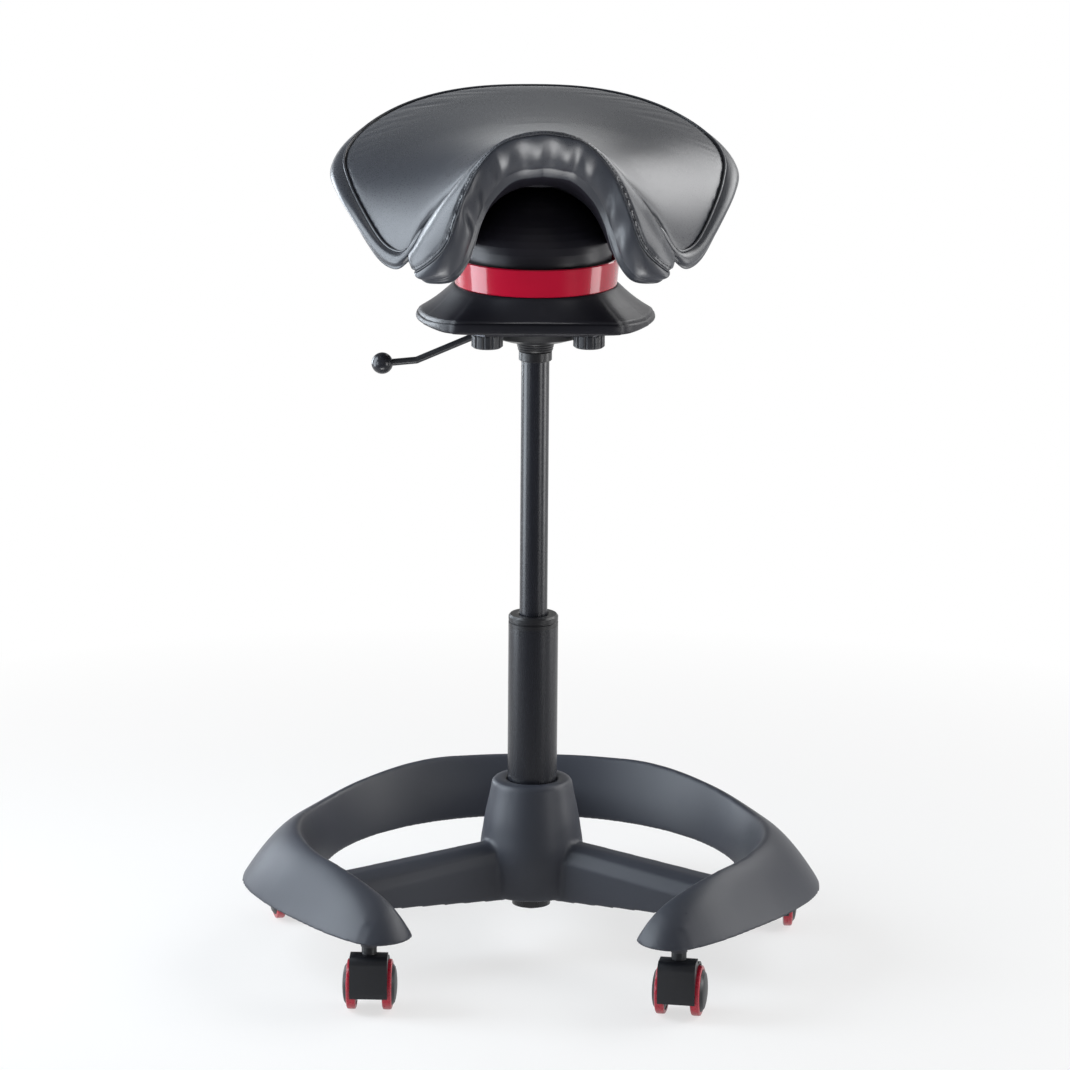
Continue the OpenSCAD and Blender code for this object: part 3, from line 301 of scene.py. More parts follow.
# %% Painted and bare metal
def coated_tube(name, colour, rough):
    """Powder coat on a round tube: orange peel as a bump, fine vertical wipe marks in the gloss."""
    f = Finish(name)
    peel = f.noise(420, 3, 0.45)
    wipe = f.noise(30, 4, 0.6, at=f.stretched(18, 18, 1))
    paint = f.mix(tuple(c * 0.9 for c in colour), tuple(c * 1.1 + 0.001 for c in colour), wipe)
    return f.done(Base_Color=paint, Roughness=wipe * 0.05 + (rough - 0.025),
                  Normal=f.bump(peel, 0.00005, 0.3), Specular_IOR_Level=0.6)


def steel(name, colour, rough):
    """Turned or pressed steel: fine turning lines round the axis and a little tarnish."""
    f = Finish(name)
    lines = f.noise(40, 4, 0.7, at=f.stretched(2, 2, 60))
    tarnish = f.noise(70, 4, 0.6).band(0.45, 0.8)
    paint = f.mix(colour, tuple(c * 0.6 for c in colour), tarnish * 0.6)
    return f.done(Base_Color=paint, Metallic=1.0, Roughness=lines * 0.16 + tarnish * 0.12 + rough,
                  Normal=f.bump(lines, 0.00003, 0.6))


# %% Glossy red
def red_lacquer(name):
    """Crimson moulding under a clear skin: a slow ripple in the coat and a few fine scratches."""
    f = Finish(name)
    deep = f.mix((0.34, 0.001, 0.018), (0.44, 0.0015, 0.027), f.noise(14, 3))
    hair = f.noise(90, 5, 0.75, at=f.stretched(1, 1, 12)).band(0.66, 0.72)
    ripple = f.noise(26, 1, 0.4)
    return f.done(Base_Color=deep, Roughness=hair * 0.16 + 0.2, Normal=f.bump(ripple, 0.0002, 0.35),
                  Specular_IOR_Level=0.2, Coat_Weight=0.7, Coat_Roughness=0.04)


def red_urethane(name):
    """Cast polyurethane tread: satin at the shoulders, dulled and dusty where it meets the floor."""
    f = Finish(name)
    low = 1 - f.axis("Z").band(0.001, 0.012)
    dust = f.noise(160, 5, 0.65).band(0.4, 0.7) * (low * 0.5 + 0.12)
    paint = f.mix(f.mix((0.40, 0.004, 0.022), (0.50, 0.006, 0.034), f.noise(30, 3)), (0.30, 0.22, 0.20), dust)
    return f.done(Base_Color=paint, Roughness=dust * 0.4 + 0.26, Normal=f.bump(f.noise(700, 2), 0.00005, 0.4),
                  Coat_Weight=0.35, Coat_Roughness=0.16)


# %% Leather
def leather(name, colour, rough, pebble, mirror, sheen=0.08):
    """Coated leather: rounded pebbles from cell distance, whose places a fine noise shifts by up to
    1.2 mm, fine pores and creases, and a slow drift of tone."""
    f = Finish(name)
    stir = f.node("TexNoise", None, {"Vector": f.place, "Scale": 240.0})["Color"]
    shift = f.node("VectorMath", {"operation": "SCALE"}, {0: stir, "Scale": 0.0012})["Vector"]
    warp = f.node("VectorMath", {"operation": "ADD"}, {0: f.place, 1: shift})["Vector"]
    grain = f.cells(760, "SMOOTH_F1", warp)
    pores = f.noise(2600, 2, 0.6)
    drift = f.noise(7, 3, 0.5)
    creases = f.cells(150, "DISTANCE_TO_EDGE", warp).band(0.0, 0.09)
    paint = f.mix(tuple(c * 0.84 for c in colour), tuple(c * 1.16 for c in colour), drift * 0.8 + grain * 0.3)
    tall = grain * 0.65 + pores * 0.2 + (1 - creases) * -0.25
    return f.done(Base_Color=paint, Roughness=grain * 0.12 + drift * 0.1 + (rough - 0.1),
                  Normal=f.bump(tall, 0.00016, pebble), Specular_IOR_Level=mirror, Sheen_Weight=sheen,
                  Sheen_Roughness=0.4)


# %% Make the finishes and dress the CAD nodes
RECIPES = {
    "frame_plastic": (moulded, (0.034, 0.038, 0.051), 0.47, 0.9, 0.10, 1100),
    "black_tube": (coated_tube, (0.010, 0.011, 0.016), 0.27),
    "bush_plastic": (moulded, (0.010, 0.010, 0.012), 0.36, 0.4),
    "bare_steel": (steel, (0.62, 0.62, 0.64), 0.22),
    "dark_steel": (steel, (0.10, 0.10, 0.11), 0.34),
    "cover_plastic": (moulded, (0.007, 0.007, 0.011), 0.42, 0.25, 0.04, 900, 0.3),
    "dome_plastic": (moulded, (0.011, 0.010, 0.016), 0.40, 0.3, 0.05, 800, 0.4),
    "caster_plastic": (moulded, (0.013, 0.014, 0.018), 0.36, 0.5, 0.10),
    "red_gloss": (red_lacquer,),
    "red_tread": (red_urethane,),
    "leather": (leather, (0.026, 0.029, 0.037), 0.29, 0.30, 0.55),
    # The lining's colour is the seat leather's made about a tenth lighter: painted light that lifts the arch
    # lining, which lies in shade. Its smoother grain and lack of sheen are its own.
    "lining_leather": (leather, (0.029, 0.032, 0.041), 0.31, 0.05, 0.6, 0.0),
    "shell_plastic": (moulded, (0.012, 0.012, 0.014), 0.5, 0.8),
    "stop_rubber": (moulded, (0.010, 0.010, 0.010), 0.7, 0.9),
    "lever_black": (coated_tube, (0.020, 0.021, 0.025), 0.28),
    "ball_plastic": (moulded, (0.016, 0.017, 0.022), 0.24, 0.2, 0.05),
    "knob_plastic": (moulded, (0.016, 0.017, 0.021), 0.38, 0.5, 0.12),
}
FINISHES = {name: make(name, *numbers) for name, (make, *numbers) in RECIPES.items()}
slot_of = {part["node"]: part["material_slot"] for part in frame["record"]["subparts"]}
for name, obj in nodes.items():
    finish = FINISHES[slot_of[name]]
    if not obj.material_slots:
        obj.data.materials.append(finish)
    for one in obj.material_slots:
        one.material = finish
print("dressed", len(nodes), "nodes with", len(FINISHES), "finishes")

# %% [markdown]
# ## Surfaces from arrays
# A moulded or sewn form is worked out as a table of points: one row is a ring round the form, and
# the rows run along it. One helper turns such a table into a closed mesh whose faces point
# outwards. Curves through a few chosen points use the same spline as the CAD source.

# %% Blends and curves
def lerp(a, b, t):
    """a at t = 0, b at t = 1."""
    return a + (b - a) * t


def ease(t):
    """0 to 1 with a soft start and a soft end: 3 t squared less 2 t cubed, t held between 0 and 1."""
    t = np.clip(t, 0, 1)
    return t * t * (3 - 2 * t)


def unit(v):
    """Each vector divided by its length."""
    return v / np.maximum(np.linalg.norm(v, axis=-1, keepdims=True), 1e-9)


def turned(points, by):
    """Turn points about the column's axis by an angle."""
    s, c = math.sin(by), math.cos(by)
    x, y, z = points[..., 0], points[..., 1], points[..., 2]
    return np.stack([x * c - y * s, x * s + y * c, z], -1)


def cubic(a, b, slope_a, slope_b, u):
    """From a to b with a given slope at each end, for u from 0 to 1."""
    return ((2 * u**3 - 3 * u**2 + 1) * a + (u**3 - 2 * u**2 + u) * slope_a
            + (3 * u**2 - 2 * u**3) * b + (u**3 - u**2) * slope_b)


def curve(points, t):
    """A smooth curve through points: t counts them from 0, cubic between, slopes from the neighbours."""
    p = np.asarray(points, float)
    t = np.asarray(t, float)
    n = len(p) - 1
    i = np.clip(np.floor(t).astype(int), 0, n - 1)
    u = (t - i)[..., None]
    a, b = p[i], p[i + 1]
    before, after = p[np.maximum(i - 1, 0)], p[np.minimum(i + 2, n)]
    ma = np.where((i > 0)[..., None], (b - before) / 2, b - a)
    mb = np.where((i < n - 1)[..., None], (after - a) / 2, b - a)
    return cubic(a, b, ma, mb, u)


def read_off(pairs, x):
    """The value at x on the smooth curve through (position, value) pairs."""
    p = np.asarray(pairs, float)
    x = np.asarray(x, float)
    i = np.clip(np.searchsorted(p[:, 0], x, side="right") - 1, 0, len(p) - 2)
    u = np.clip((x - p[i, 0]) / (p[i + 1, 0] - p[i, 0]), 0, 1)
    return curve(p, i + u)[..., 1]


def rounded_rings(rings, count):
    """Each ring of a few points becomes a smooth closed ring of count points (Catmull-Rom)."""
    n = rings.shape[1]
    t = np.arange(count) * n / count
    i = np.floor(t).astype(int)
    u = (t - i)[None, :, None]
    a, b = rings[:, i % n], rings[:, (i + 1) % n]
    return cubic(a, b, (b - rings[:, (i - 1) % n]) / 2, (rings[:, (i + 2) % n] - a) / 2, u)


print("ease at a quarter", ease(0.25))


# %% Meshes from rings
def put_mesh(name, points, quads, triangles=None):
    """An object at the origin from points in millimetres and arrays of corners."""
    mesh = bpy.data.meshes.new(name)
    faces = quads.tolist() + ([] if triangles is None else triangles.tolist())
    mesh.from_pydata((points * 0.001).tolist(), [], faces)
    mesh.polygons.foreach_set("use_smooth", np.ones(len(mesh.polygons), bool))
    return add_object(name, mesh)


def ring_faces(rings, closed):
    """Corners of the quads between neighbouring rings, and of the two end fans of an open form."""
    m, n = rings.shape[:2]
    here = np.arange(m * n).reshape(m, n)
    side = np.roll(here, -1, axis=1)
    if closed:
        quads = np.stack([here, side, np.roll(side, -1, axis=0), np.roll(here, -1, axis=0)], -1)
        return rings.reshape(-1, 3), quads.reshape(-1, 4), np.zeros((0, 3), int)
    quads = np.stack([here[:-1], side[:-1], side[1:], here[1:]], -1).reshape(-1, 4)
    points = np.vstack([rings.reshape(-1, 3), rings[:1].mean(1), rings[-1:].mean(1)])
    first = np.stack([np.full(n, m * n), side[0], here[0]], 1)
    last = np.stack([np.full(n, m * n + 1), here[-1], side[-1]], 1)
    return points, quads, np.vstack([first, last])


def skin(name, rings, closed=False):
    """A closed surface through rings of points. If its signed volume is negative, its faces turn."""
    points, quads, fans = ring_faces(np.asarray(rings, float), closed)
    tris = np.vstack([quads[:, [0, 1, 2]], quads[:, [0, 2, 3]], fans])
    a, b, c = (points[tris[:, k]] for k in range(3))
    if np.einsum("ij,ij->i", np.cross(a, b), c).sum() < 0:
        quads, fans = quads[:, ::-1], fans[:, ::-1]
    return put_mesh(name, points, quads, fans)


def modify(obj, kind, **settings):
    """Add a modifier of this kind, with these settings."""
    added = obj.modifiers.new(kind.lower(), kind)
    for key, value in settings.items():
        setattr(added, key, value)


def baked(obj):
    """Apply the object's modifiers: its mesh becomes what they make."""
    graph = bpy.context.evaluated_depsgraph_get()
    made = bpy.data.meshes.new_from_object(obj.evaluated_get(graph))
    obj.modifiers.clear()
    obj.data = made
    made.polygons.foreach_set("use_smooth", np.ones(len(made.polygons), bool))
    return obj


def joined(name, parts):
    """One object from several: their points and faces side by side in one mesh."""
    with bpy.context.temp_override(active_object=parts[0], selected_editable_objects=parts):
        bpy.ops.object.join()
    parts[0].name = parts[0].data.name = name
    return parts[0]


def finish_piece(obj, slot, body, *stands_for):
    """Give a piece its finish and its body, and hide the CAD nodes it stands for."""
    obj.data.materials.clear()
    obj.data.materials.append(FINISHES[slot])
    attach(obj, body)
    if stands_for:
        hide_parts(*stands_for)
    print(obj.name, "faces", len(obj.data.polygons), "on", body)
    return obj


# %% [markdown]
# ## The moulded base
# The real base is one nylon moulding: a foot ring that is open at the front, three arms and a
# waisted hub. Its parts flow into each other. Each part is easy as rings of points, and the soft
# blends come from melting them together with a voxel remesh and smoothing the result a little.

# %% Foot ring
RING_LOW, CREST, SIDE_CREST, RING_IN, TIP = 74.5, 136.0, 131.0, 213.0, 27.5
BACK_R, SHOULDER_R, SIDE_R, FRONT_R, WALL = 287.0, 279.0, 295.0, 280.0, 5.0
CREST_LINE = [(60, SIDE_CREST - 2), (90, SIDE_CREST + 1), (110, SIDE_CREST - 4), (130, CREST - 4),
              (150, CREST + 2.5), (165, CREST + 1.5), (181, CREST)]
OUTER_LINE = [(TIP, FRONT_R + 5), (40, FRONT_R + 1), (55, FRONT_R - 2), (68, lerp(FRONT_R, SIDE_R, 0.3)),
              (84, SIDE_R), (100, lerp(SIDE_R, SHOULDER_R, 0.53)), (120, SHOULDER_R), (150, BACK_R),
              (181, BACK_R + 9)]
NOSE = 8.5


def ring_rings(angles, inset):
    """Sections of the foot ring. Width share u runs from the inner foot to the outer edge, past the
    crest at 0.3. Height share is 1 less (0.3 - u over 0.3) to the 1.3 inside the crest, and 1 less
    (u - 0.3 over 0.7) to the full outside it. Both shrink to a round nose at the tip."""
    a = np.asarray(angles, float)[:, None]
    fade = np.where(a >= 60, 1, (1 - np.clip((60 - a) / (60 - TIP), 0, 1) ** 2.2) ** 0.6)
    crest = RING_LOW + (read_off(CREST_LINE, a) - RING_LOW) * fade
    outer = read_off(OUTER_LINE, a)
    nose = np.sqrt(np.clip(1 - np.clip((TIP + NOSE - a) / NOSE, 0, 1) ** 2, 0, 1))
    full = np.where(a < 60, lerp(2.3, 1.6, ease((a - 30) / 30)), 1.6)
    u = (np.sin(np.linspace(-math.pi / 2, math.pi / 2, 41))[None, :] + 1) / 2
    inner = 1 - np.clip((0.3 - u) / 0.3, 0, 1) ** 1.3
    v = np.where(u < 0.3, inner, 1 - np.clip((u - 0.3) / 0.7, 0, 1) ** full)
    if inset:
        v = v * ease((a - 40) / 5)
    middle = RING_IN + 0.4 * (outer - RING_IN)
    r = lerp(middle, lerp(RING_IN + inset, outer - inset, u), nose)
    z = RING_LOW + v * (crest - inset - RING_LOW) * np.sqrt(nose)
    at = np.radians(a)
    return np.stack([r * np.sin(at), -r * np.cos(at), z], -1)


def make_ring():
    """The right half's sections, then the same sections mirrored, back to the other tip."""
    nose = TIP + NOSE * np.array([0.005, 0.03, 0.08, 0.16, 0.28, 0.45, 0.7])
    a = np.concatenate([nose, np.arange(36, 180.5, 2)])
    half = np.concatenate([ring_rings(a, 0), ring_rings(a, WALL)[:, ::-1]], axis=1)
    other = half[-2::-1] * (-1, 1, 1)
    return skin("ring", np.concatenate([half, other]))


print("ring's height at the back", round(float(ring_rings([180], 0)[..., 2].max()), 1))

# %% Arms
ARM_ANGLES, ARM_ROOT, ARM_END, ARM_FOOT = (60, 180, 300), 38.0, RING_IN + 12, 1.4


def arm_rings(inset):
    """Sections of an arm along its length r: flat sides, a crease along each edge of the top, and
    a rounded foot, which the remesh follows better than a sharp one."""
    t = np.linspace(0, 1, 24)
    r = lerp(ARM_ROOT, ARM_END, t)
    w = lerp(38, 52, t) / 2 - inset
    top = lerp(121, 109, t) - inset
    low = lerp(60.0, RING_LOW + 1, t)
    step = -ARM_FOOT if inset else ARM_FOOT
    across = np.stack([step - w, -w, -w, -0.62 * w, -0.2 * w, 0.45 * w, 0.85 * w, w, w, w - step], 1)
    height = np.stack([low, low + 1.8, top - 16, top - 5, top, top, top - 6, top - 18, low + 1.8, low], 1)
    return np.stack([np.broadcast_to(r[:, None], across.shape), across, height], -1)


def make_arms():
    """Three arms: outer sections closed by the channel inside them, turned to each arm's angle."""
    shape = np.concatenate([arm_rings(0), arm_rings(WALL)[:, ::-1]], axis=1)
    return [skin("arm", turned(shape, math.radians(a - 90))) for a in ARM_ANGLES]


print("arm's sections, and points in one", arm_rings(0).shape[:2])

# %% Hub
HUB_TOP, HUB_TOP_R, HUB_FOOT, RIM = 181.0, 41.0, 63.0, 6.0
TUBE_SEAT = [(25.6, HUB_TOP), (25.4, 150), (24, 62), (30, 62)]
POCKET = [(30, 138), (44, 136), (44, HUB_FOOT), (49, HUB_FOOT)]
HUB_LINE = [(66, 50.4), (92, 51.8), (104, 52.4), (117, 51.6), (127, 49.9), (142, 47.7), (156, 44.8),
            (170, 41.9), (176, 40.9)]


def spin_rings(profile, count):
    """A closed profile of (radius, height) pairs carried once round the axis."""
    p = np.asarray(profile, float)
    turn = np.linspace(0, 2 * math.pi, count, endpoint=False)[:, None]
    height = np.broadcast_to(p[:, 1], (count, len(p)))
    return np.stack([p[:, 0] * np.cos(turn), p[:, 0] * np.sin(turn), height], -1)


def make_hub():
    """The hub's wall: up the waist outside, over the rim, down the stand tube's seat, and round the
    pocket that is open below. Six ribs cross the pocket."""
    z = np.linspace(68, 175, 40)
    outside = np.stack([read_off(HUB_LINE, z), z], 1)
    turn = np.linspace(0, math.pi / 2, 7)
    rim = np.stack([HUB_TOP_R - RIM + RIM * np.cos(turn), HUB_TOP - RIM + RIM * np.sin(turn)], 1)
    wall = skin("hub", spin_rings(np.concatenate([outside, rim, TUBE_SEAT, POCKET]), 128), closed=True)
    rib = np.array([[(28, -2, h), (46, -2, h), (46, 2, h), (28, 2, h)] for h in (66.0, 138.0)])
    return [wall, *(skin("rib", turned(rib, k * math.pi / 3)) for k in range(6))]


print("hub's radius half way up", round(float(read_off(HUB_LINE, 120.0)), 1))

# %% Bosses for the caster stems, and the melting
CASTERS = {"front_right": 36, "side_right": 108, "back": 180, "side_left": 252, "front_left": 324}
CASTER_CIRCLE, BOSS_R, BOSS_TOP = 258.0, 10.0, 95.0
BASE_VOXEL, BASE_SMOOTHING, BASE_KEPT = 2.0, 8, 0.45


def make_bosses():
    """A round boss stands in the ring's channel over each caster."""
    circle = np.linspace(0, 2 * math.pi, 24, endpoint=False)
    bosses = []
    for a in np.radians(list(CASTERS.values())):
        x = CASTER_CIRCLE * math.sin(a) + BOSS_R * np.cos(circle)
        y = -CASTER_CIRCLE * math.cos(a) + BOSS_R * np.sin(circle)
        ends = [np.column_stack([x, y, np.full(24, h)]) for h in (75.0, BOSS_TOP)]
        bosses.append(skin("boss", np.stack(ends)))
    return bosses


def melt(obj, voxel, rounds, kept):
    """Voxel remesh, then smoothing rounds, so that joints between parts become soft blends. Only a
    share of the triangles is kept: the flat places need few."""
    modify(obj, "REMESH", mode="VOXEL", voxel_size=voxel * 0.001)
    modify(obj, "SMOOTH", factor=0.5, iterations=rounds)
    baked(obj)
    modify(obj, "DECIMATE", ratio=kept)
    baked(obj)


base = joined("base_moulding", [make_ring(), *make_arms(), *make_hub(), *make_bosses()])
melt(base, BASE_VOXEL, BASE_SMOOTHING, BASE_KEPT)
finish_piece(base, "frame_plastic", "base", "base_frame")

# %% [markdown]
# ## Mechanism cover
# The cover is a shallow moulded dish: round at the back and sides, straight across the front with
# rounded corners, and swept up to the foot of the red band. It is one loop of a profile per angle.

# %% Cover outline and profile
COVER_TURN = math.radians(2.5)
PLATE, BAND_R, BAND_FOOT, RIM_UP = 650.0, 80.4, 40.0, 3.0
COVER_FLAT, COVER_CORNER, SOFT, HOLLOW = 81.0, 115.2, 5.0, 0.072
COVER_LINE = [(0, 150), (42, 116), (54, 114.5), (68, 113.5), (80, 115.5), (92, 118.5), (104, 121), (181, 121)]


def cover_loops():
    """At angle a the edge lies at the soft least of COVER_FLAT over cos a and the side's radius. From
    the rim the top sweeps up to the band's foot, a little hollow, and a wall's thickness above its
    underside. The cover stands a little turned at rest."""
    a = np.radians(np.arange(0, 360, 1.5))
    off = np.abs((np.degrees(a) + 180) % 360 - 180)
    flat = COVER_FLAT / np.maximum(np.cos(a), 0.05)
    side = np.where(off < 48, COVER_CORNER, read_off(COVER_LINE, off))
    soft = -SOFT * np.log(np.exp(-flat / SOFT) + np.exp(-side / SOFT)) + 0.8
    edge = np.where(off > 75, side, soft)[:, None]
    tall = PLATE + RIM_UP + lerp(11, 6, ease((off - 38) / 40))[:, None]
    foot, high, low = BAND_R + 0.8, PLATE + BAND_FOOT, PLATE + RIM_UP
    shares = np.array([0.06, 0.16, 0.3, 0.45, 0.6, 0.75, 0.88, 0.97])
    rise = shares - HOLLOW * np.sin(shares * math.pi)
    r = np.hstack([edge - 1.6, edge - 0.4, edge + 0.1, edge - 0.1, edge - 0.6, edge - 1.4, edge - 2.8,
                   lerp(edge, foot, shares), np.full_like(edge, foot - 0.6), np.full_like(edge, foot - 4.5),
                   np.full_like(edge, foot - 4.5), lerp(edge, foot, shares[::-1]) - 2, edge - 5, edge - 5])
    z = np.hstack([np.full_like(tall, low), np.full_like(tall, low + 0.5), np.full_like(tall, low + 1.8),
                   tall - 3.0, tall - 1.4, tall - 0.4, tall, lerp(tall, high, rise),
                   np.full_like(tall, high), np.full_like(tall, high), np.full_like(tall, high - 3.5),
                   lerp(tall, high, rise[::-1]) - 3.6, tall - 3.6, np.full_like(tall, low)])
    a = a[:, None]
    return turned(np.stack([r * np.sin(a), -r * np.cos(a), z], -1), COVER_TURN)


cover = skin("cover_dish", cover_loops(), closed=True)
finish_piece(cover, "cover_plastic", "lift", "mechanism_cover")

# %% [markdown]
# ## Caster hoods
# A hood is a flat-sided moulding with softly rounded edges. Its CAD solid has the right outline
# with sharp edges, so a merged copy with a bevel gives the moulded look.

# %% Round the hoods
def soft_copy(node, name, width, segments):
    """A copy of a CAD node, its loose triangles merged, with every sharp edge rounded."""
    obj = add_object(name, nodes[node].data.copy())
    modify(obj, "WELD", merge_threshold=0.00001)
    baked(obj)
    modify(obj, "BEVEL", width=width * 0.001, segments=segments, limit_method="ANGLE",
           angle_limit=math.radians(35), use_clamp_overlap=True, harden_normals=True)
    return baked(obj)


for name in CASTERS:
    hood = soft_copy(f"caster_{name}_hood", f"hood_{name}", width=1.3, segments=3)
    finish_piece(hood, "caster_plastic", f"caster_{name}", f"caster_{name}_hood")

# %% [markdown]
# ## The saddle's surface
# The whole saddle is laid off one surface. Its middle line is a ridge that rises to the pommel
# and a little to the back, and the sides fall away from it, steeply at the pommel and gently at
# the back. Depth below the surface is measured along its normal.

# %% Saddle surface and seam
HALF_SEAM = [(0, 172), (62, 168), (114, 152), (153, 124), (179, 88), (189, 48), (184, 4), (172, -38),
             (156, -76), (140, -101), (128, -112), (117, -113), (104, -117), (86, -125), (66, -132),
             (42, -138), (0, -141)]
SEAM_RAIL = np.array([(-62, 168), *HALF_SEAM, (-42, -138)], float)
SEAT_MID = np.array((0.0, -12.0))
PAD, SHELL, GAP = 28.0, 7.0, 0.35
SEAT_TURN = math.radians(4.5)


def saddle(q, depth):
    """The ridge is 851 plus 17 (y / 150) squared in front and 11 (y / 150) to the 1.5 behind.
    The fall is 6 + 105 exp(-(y + 150) / 60), times |x / 100| to the 2.4. The padding thins to
    0.52 of its depth towards the front corners."""
    x, y = q[..., 0], q[..., 1]
    thinned = lerp(1, 0.52, ease((np.abs(x) - 75) / 65) * ease((130 - y) / 100))
    ridge = 851 + np.where(y < 0, 17 * (y / 150) ** 2, 11 * (np.abs(y) / 150) ** 1.5)
    fall = 6 + 105 * np.exp(-(y + 150) / 60)
    share = np.abs(x) / 100
    z = ridge - fall * share**2.4
    dx = -fall * 0.024 * share**1.4 * np.sign(x)
    dy = np.where(y < 0, 34 * y / 22500, 0.11 * np.sqrt(np.abs(y) / 150)) + (fall - 6) / 60 * share**2.4
    normal = unit(np.stack([-dx, -dy, np.ones_like(x)], -1))
    return np.stack([x, y, z], -1) - (depth * thinned)[..., None] * normal


def seam(t):
    """The main panel's edge in plan: t runs from the middle of the back (0) to the pommel (16),
    and a negative t gives the sitter's other side."""
    t = np.asarray(t, float)
    p = curve(SEAM_RAIL, np.abs(t) + 1)
    return np.stack([np.where(t < 0, -p[..., 0], p[..., 0]), p[..., 1]], -1)


def seam_out(t):
    """The level direction that points out of the seat at the seam's t."""
    along = seam(t + 0.02) - seam(t - 0.02)
    return unit(np.stack([-along[:, 1], along[:, 0], np.zeros(len(t))], 1))


def seat_turned(points):
    """The seat stands a little turned at rest."""
    return turned(points, SEAT_TURN)


def leant(q, depth):
    """The pommel's front leans back under its top."""
    lean = 15 * depth / PAD * np.exp(-((q[..., 0] / 50) ** 2)) * ease((-q[..., 1] - 60) / 80)
    return np.stack([q[..., 0], q[..., 1] + lean], -1)


def seam_ring(scale, depth, ts):
    """The seam's outline drawn in towards the middle by scale, on the surface depth below the top."""
    return saddle(leant(lerp(SEAT_MID, seam(ts), scale), depth), depth)


print("seam from", seam(0.0), "to", seam(16.0))

# %% [markdown]
# ## Padding by simulation
# Leather over foam is stretched from seam to seam and swells between them. The recipe: make the
# closed form a little small, remesh it to even quads, hold the seams, blow it up with Cloth, cap
# how far a point may go, and keep the result. Gravity is off, because foam holds the leather up.

# %% Blow up a padded form
def vertex_array(mesh):
    """The mesh's points as an array, in metres."""
    co = np.zeros(len(mesh.vertices) * 3, np.float32)
    mesh.vertices.foreach_get("co", co)
    return co.reshape(-1, 3).astype(float)


def far_from(points, path):
    """Each point's distance to the nearest point of a path, in the path's units."""
    best = np.full(len(points), np.inf)
    for chunk in np.array_split(np.asarray(path, float), max(1, len(path) // 40)):
        best = np.minimum(best, np.linalg.norm(points[:, None] - chunk[None], axis=2).min(1))
    return best


PRESSURE, FRAMES = 4.0, 20


def swell(obj, held_lines, voxel, cap, hold):
    """Remesh, hold the points near the seam lines, inflate, cap the movement, subdivide once. A move
    of length m becomes cap times tanh(m / cap), so the cap has no edge."""
    modify(obj, "REMESH", mode="VOXEL", voxel_size=voxel * 0.001)
    baked(obj)
    start = vertex_array(obj.data)
    near = far_from(start * 1000, held_lines)
    group = obj.vertex_groups.new(name="seams")
    for k, weight in enumerate(np.round(1 - ease((near - hold * 0.4) / hold), 2)):
        if weight > 0:
            group.add([k], float(weight), "REPLACE")
    cloth = obj.modifiers.new("cloth", "CLOTH")
    cloth.settings.use_pressure, cloth.settings.uniform_pressure_force = True, PRESSURE
    cloth.settings.effector_weights.gravity = 0
    cloth.settings.vertex_group_mass = "seams"
    cloth.settings.tension_stiffness = cloth.settings.compression_stiffness = 15
    cloth.settings.bending_stiffness = 0.6
    cloth.point_cache.frame_start, cloth.point_cache.frame_end = 1, FRAMES
    for step in range(1, FRAMES + 1):
        bpy.context.scene.frame_set(step)
    baked(obj)
    moved = vertex_array(obj.data) - start
    length = np.linalg.norm(moved, axis=1, keepdims=True)
    limit = cap * 0.001
    capped = start + moved * (limit * np.tanh(length / limit) / np.maximum(length, 1e-9))
    obj.data.vertices.foreach_set("co", capped.astype(np.float32).ravel())
    bpy.context.scene.frame_set(1)
    obj.vertex_groups.clear()
    print(obj.name, "moved", round(float(length.max() * 1000), 1), "mm before the cap")
    modify(obj, "SMOOTH", factor=0.5, iterations=2)
    modify(obj, "SUBSURF", levels=1, render_levels=1)
    return baked(obj)


def press_line(obj, path, width, depth):
    """Push points near a line inwards: depth times exp(-(distance / width) squared), in mm."""
    co = vertex_array(obj.data)
    normals = np.zeros(len(co) * 3, np.float32)
    obj.data.vertex_normals.foreach_get("vector", normals)
    near = far_from(co * 1000, path)
    dip = depth * 0.001 * np.exp(-((near / width) ** 2))
    pressed = co - normals.reshape(-1, 3) * dip[:, None]
    obj.data.vertices.foreach_set("co", pressed.astype(np.float32).ravel())
    obj.data.update()


# %% Main panel
RING_TS = np.concatenate([np.linspace(0, 16, 97), -np.linspace(16, 0, 97)[1:-1]])
SEAM_LINE = seat_turned(seam_ring(1.0, 7.0, RING_TS))
PANEL_TOP = [(0.04, 2.0), (0.2, 2.0), (0.35, 2.0), (0.5, 2.0), (0.62, 2.0), (0.73, 2.0), (0.82, 2.0),
             (0.88, 2.1), (0.93, 2.3), (0.962, 2.8), (0.985, 3.8), (1.003, 5.8), (1.012, 8.4)]
PANEL_EDGE = [(1.018, 12.0), (1.016, 16.0), (1.0, 22.0)]


def make_panel():
    """Top rings from the middle out, rings that roll over the edge, and the underside back in."""
    outside = [seam_ring(s, d, RING_TS) for s, d in PANEL_TOP + PANEL_EDGE]
    under = [seam_ring(s, PAD, RING_TS) for s in (0.96, 0.78, 0.55, 0.3, 0.04)]
    return skin("saddle_panel", seat_turned(np.stack([*outside, *under])))


panel = swell(make_panel(), SEAM_LINE, voxel=4.2, cap=3.2, hold=7.0)
finish_piece(panel, "leather", "seat", "seat_cushion")

# %% [markdown]
# ## Thigh pads, lining and side band
# Three more leather parts hang from the seam. Two petals roll over the front, from the seam to a
# stitched fold. A thin lining is drawn in under the fold and gathers into puckers round the
# crown of the arch. A band bulges out round the sides and the back, and turns in underneath.

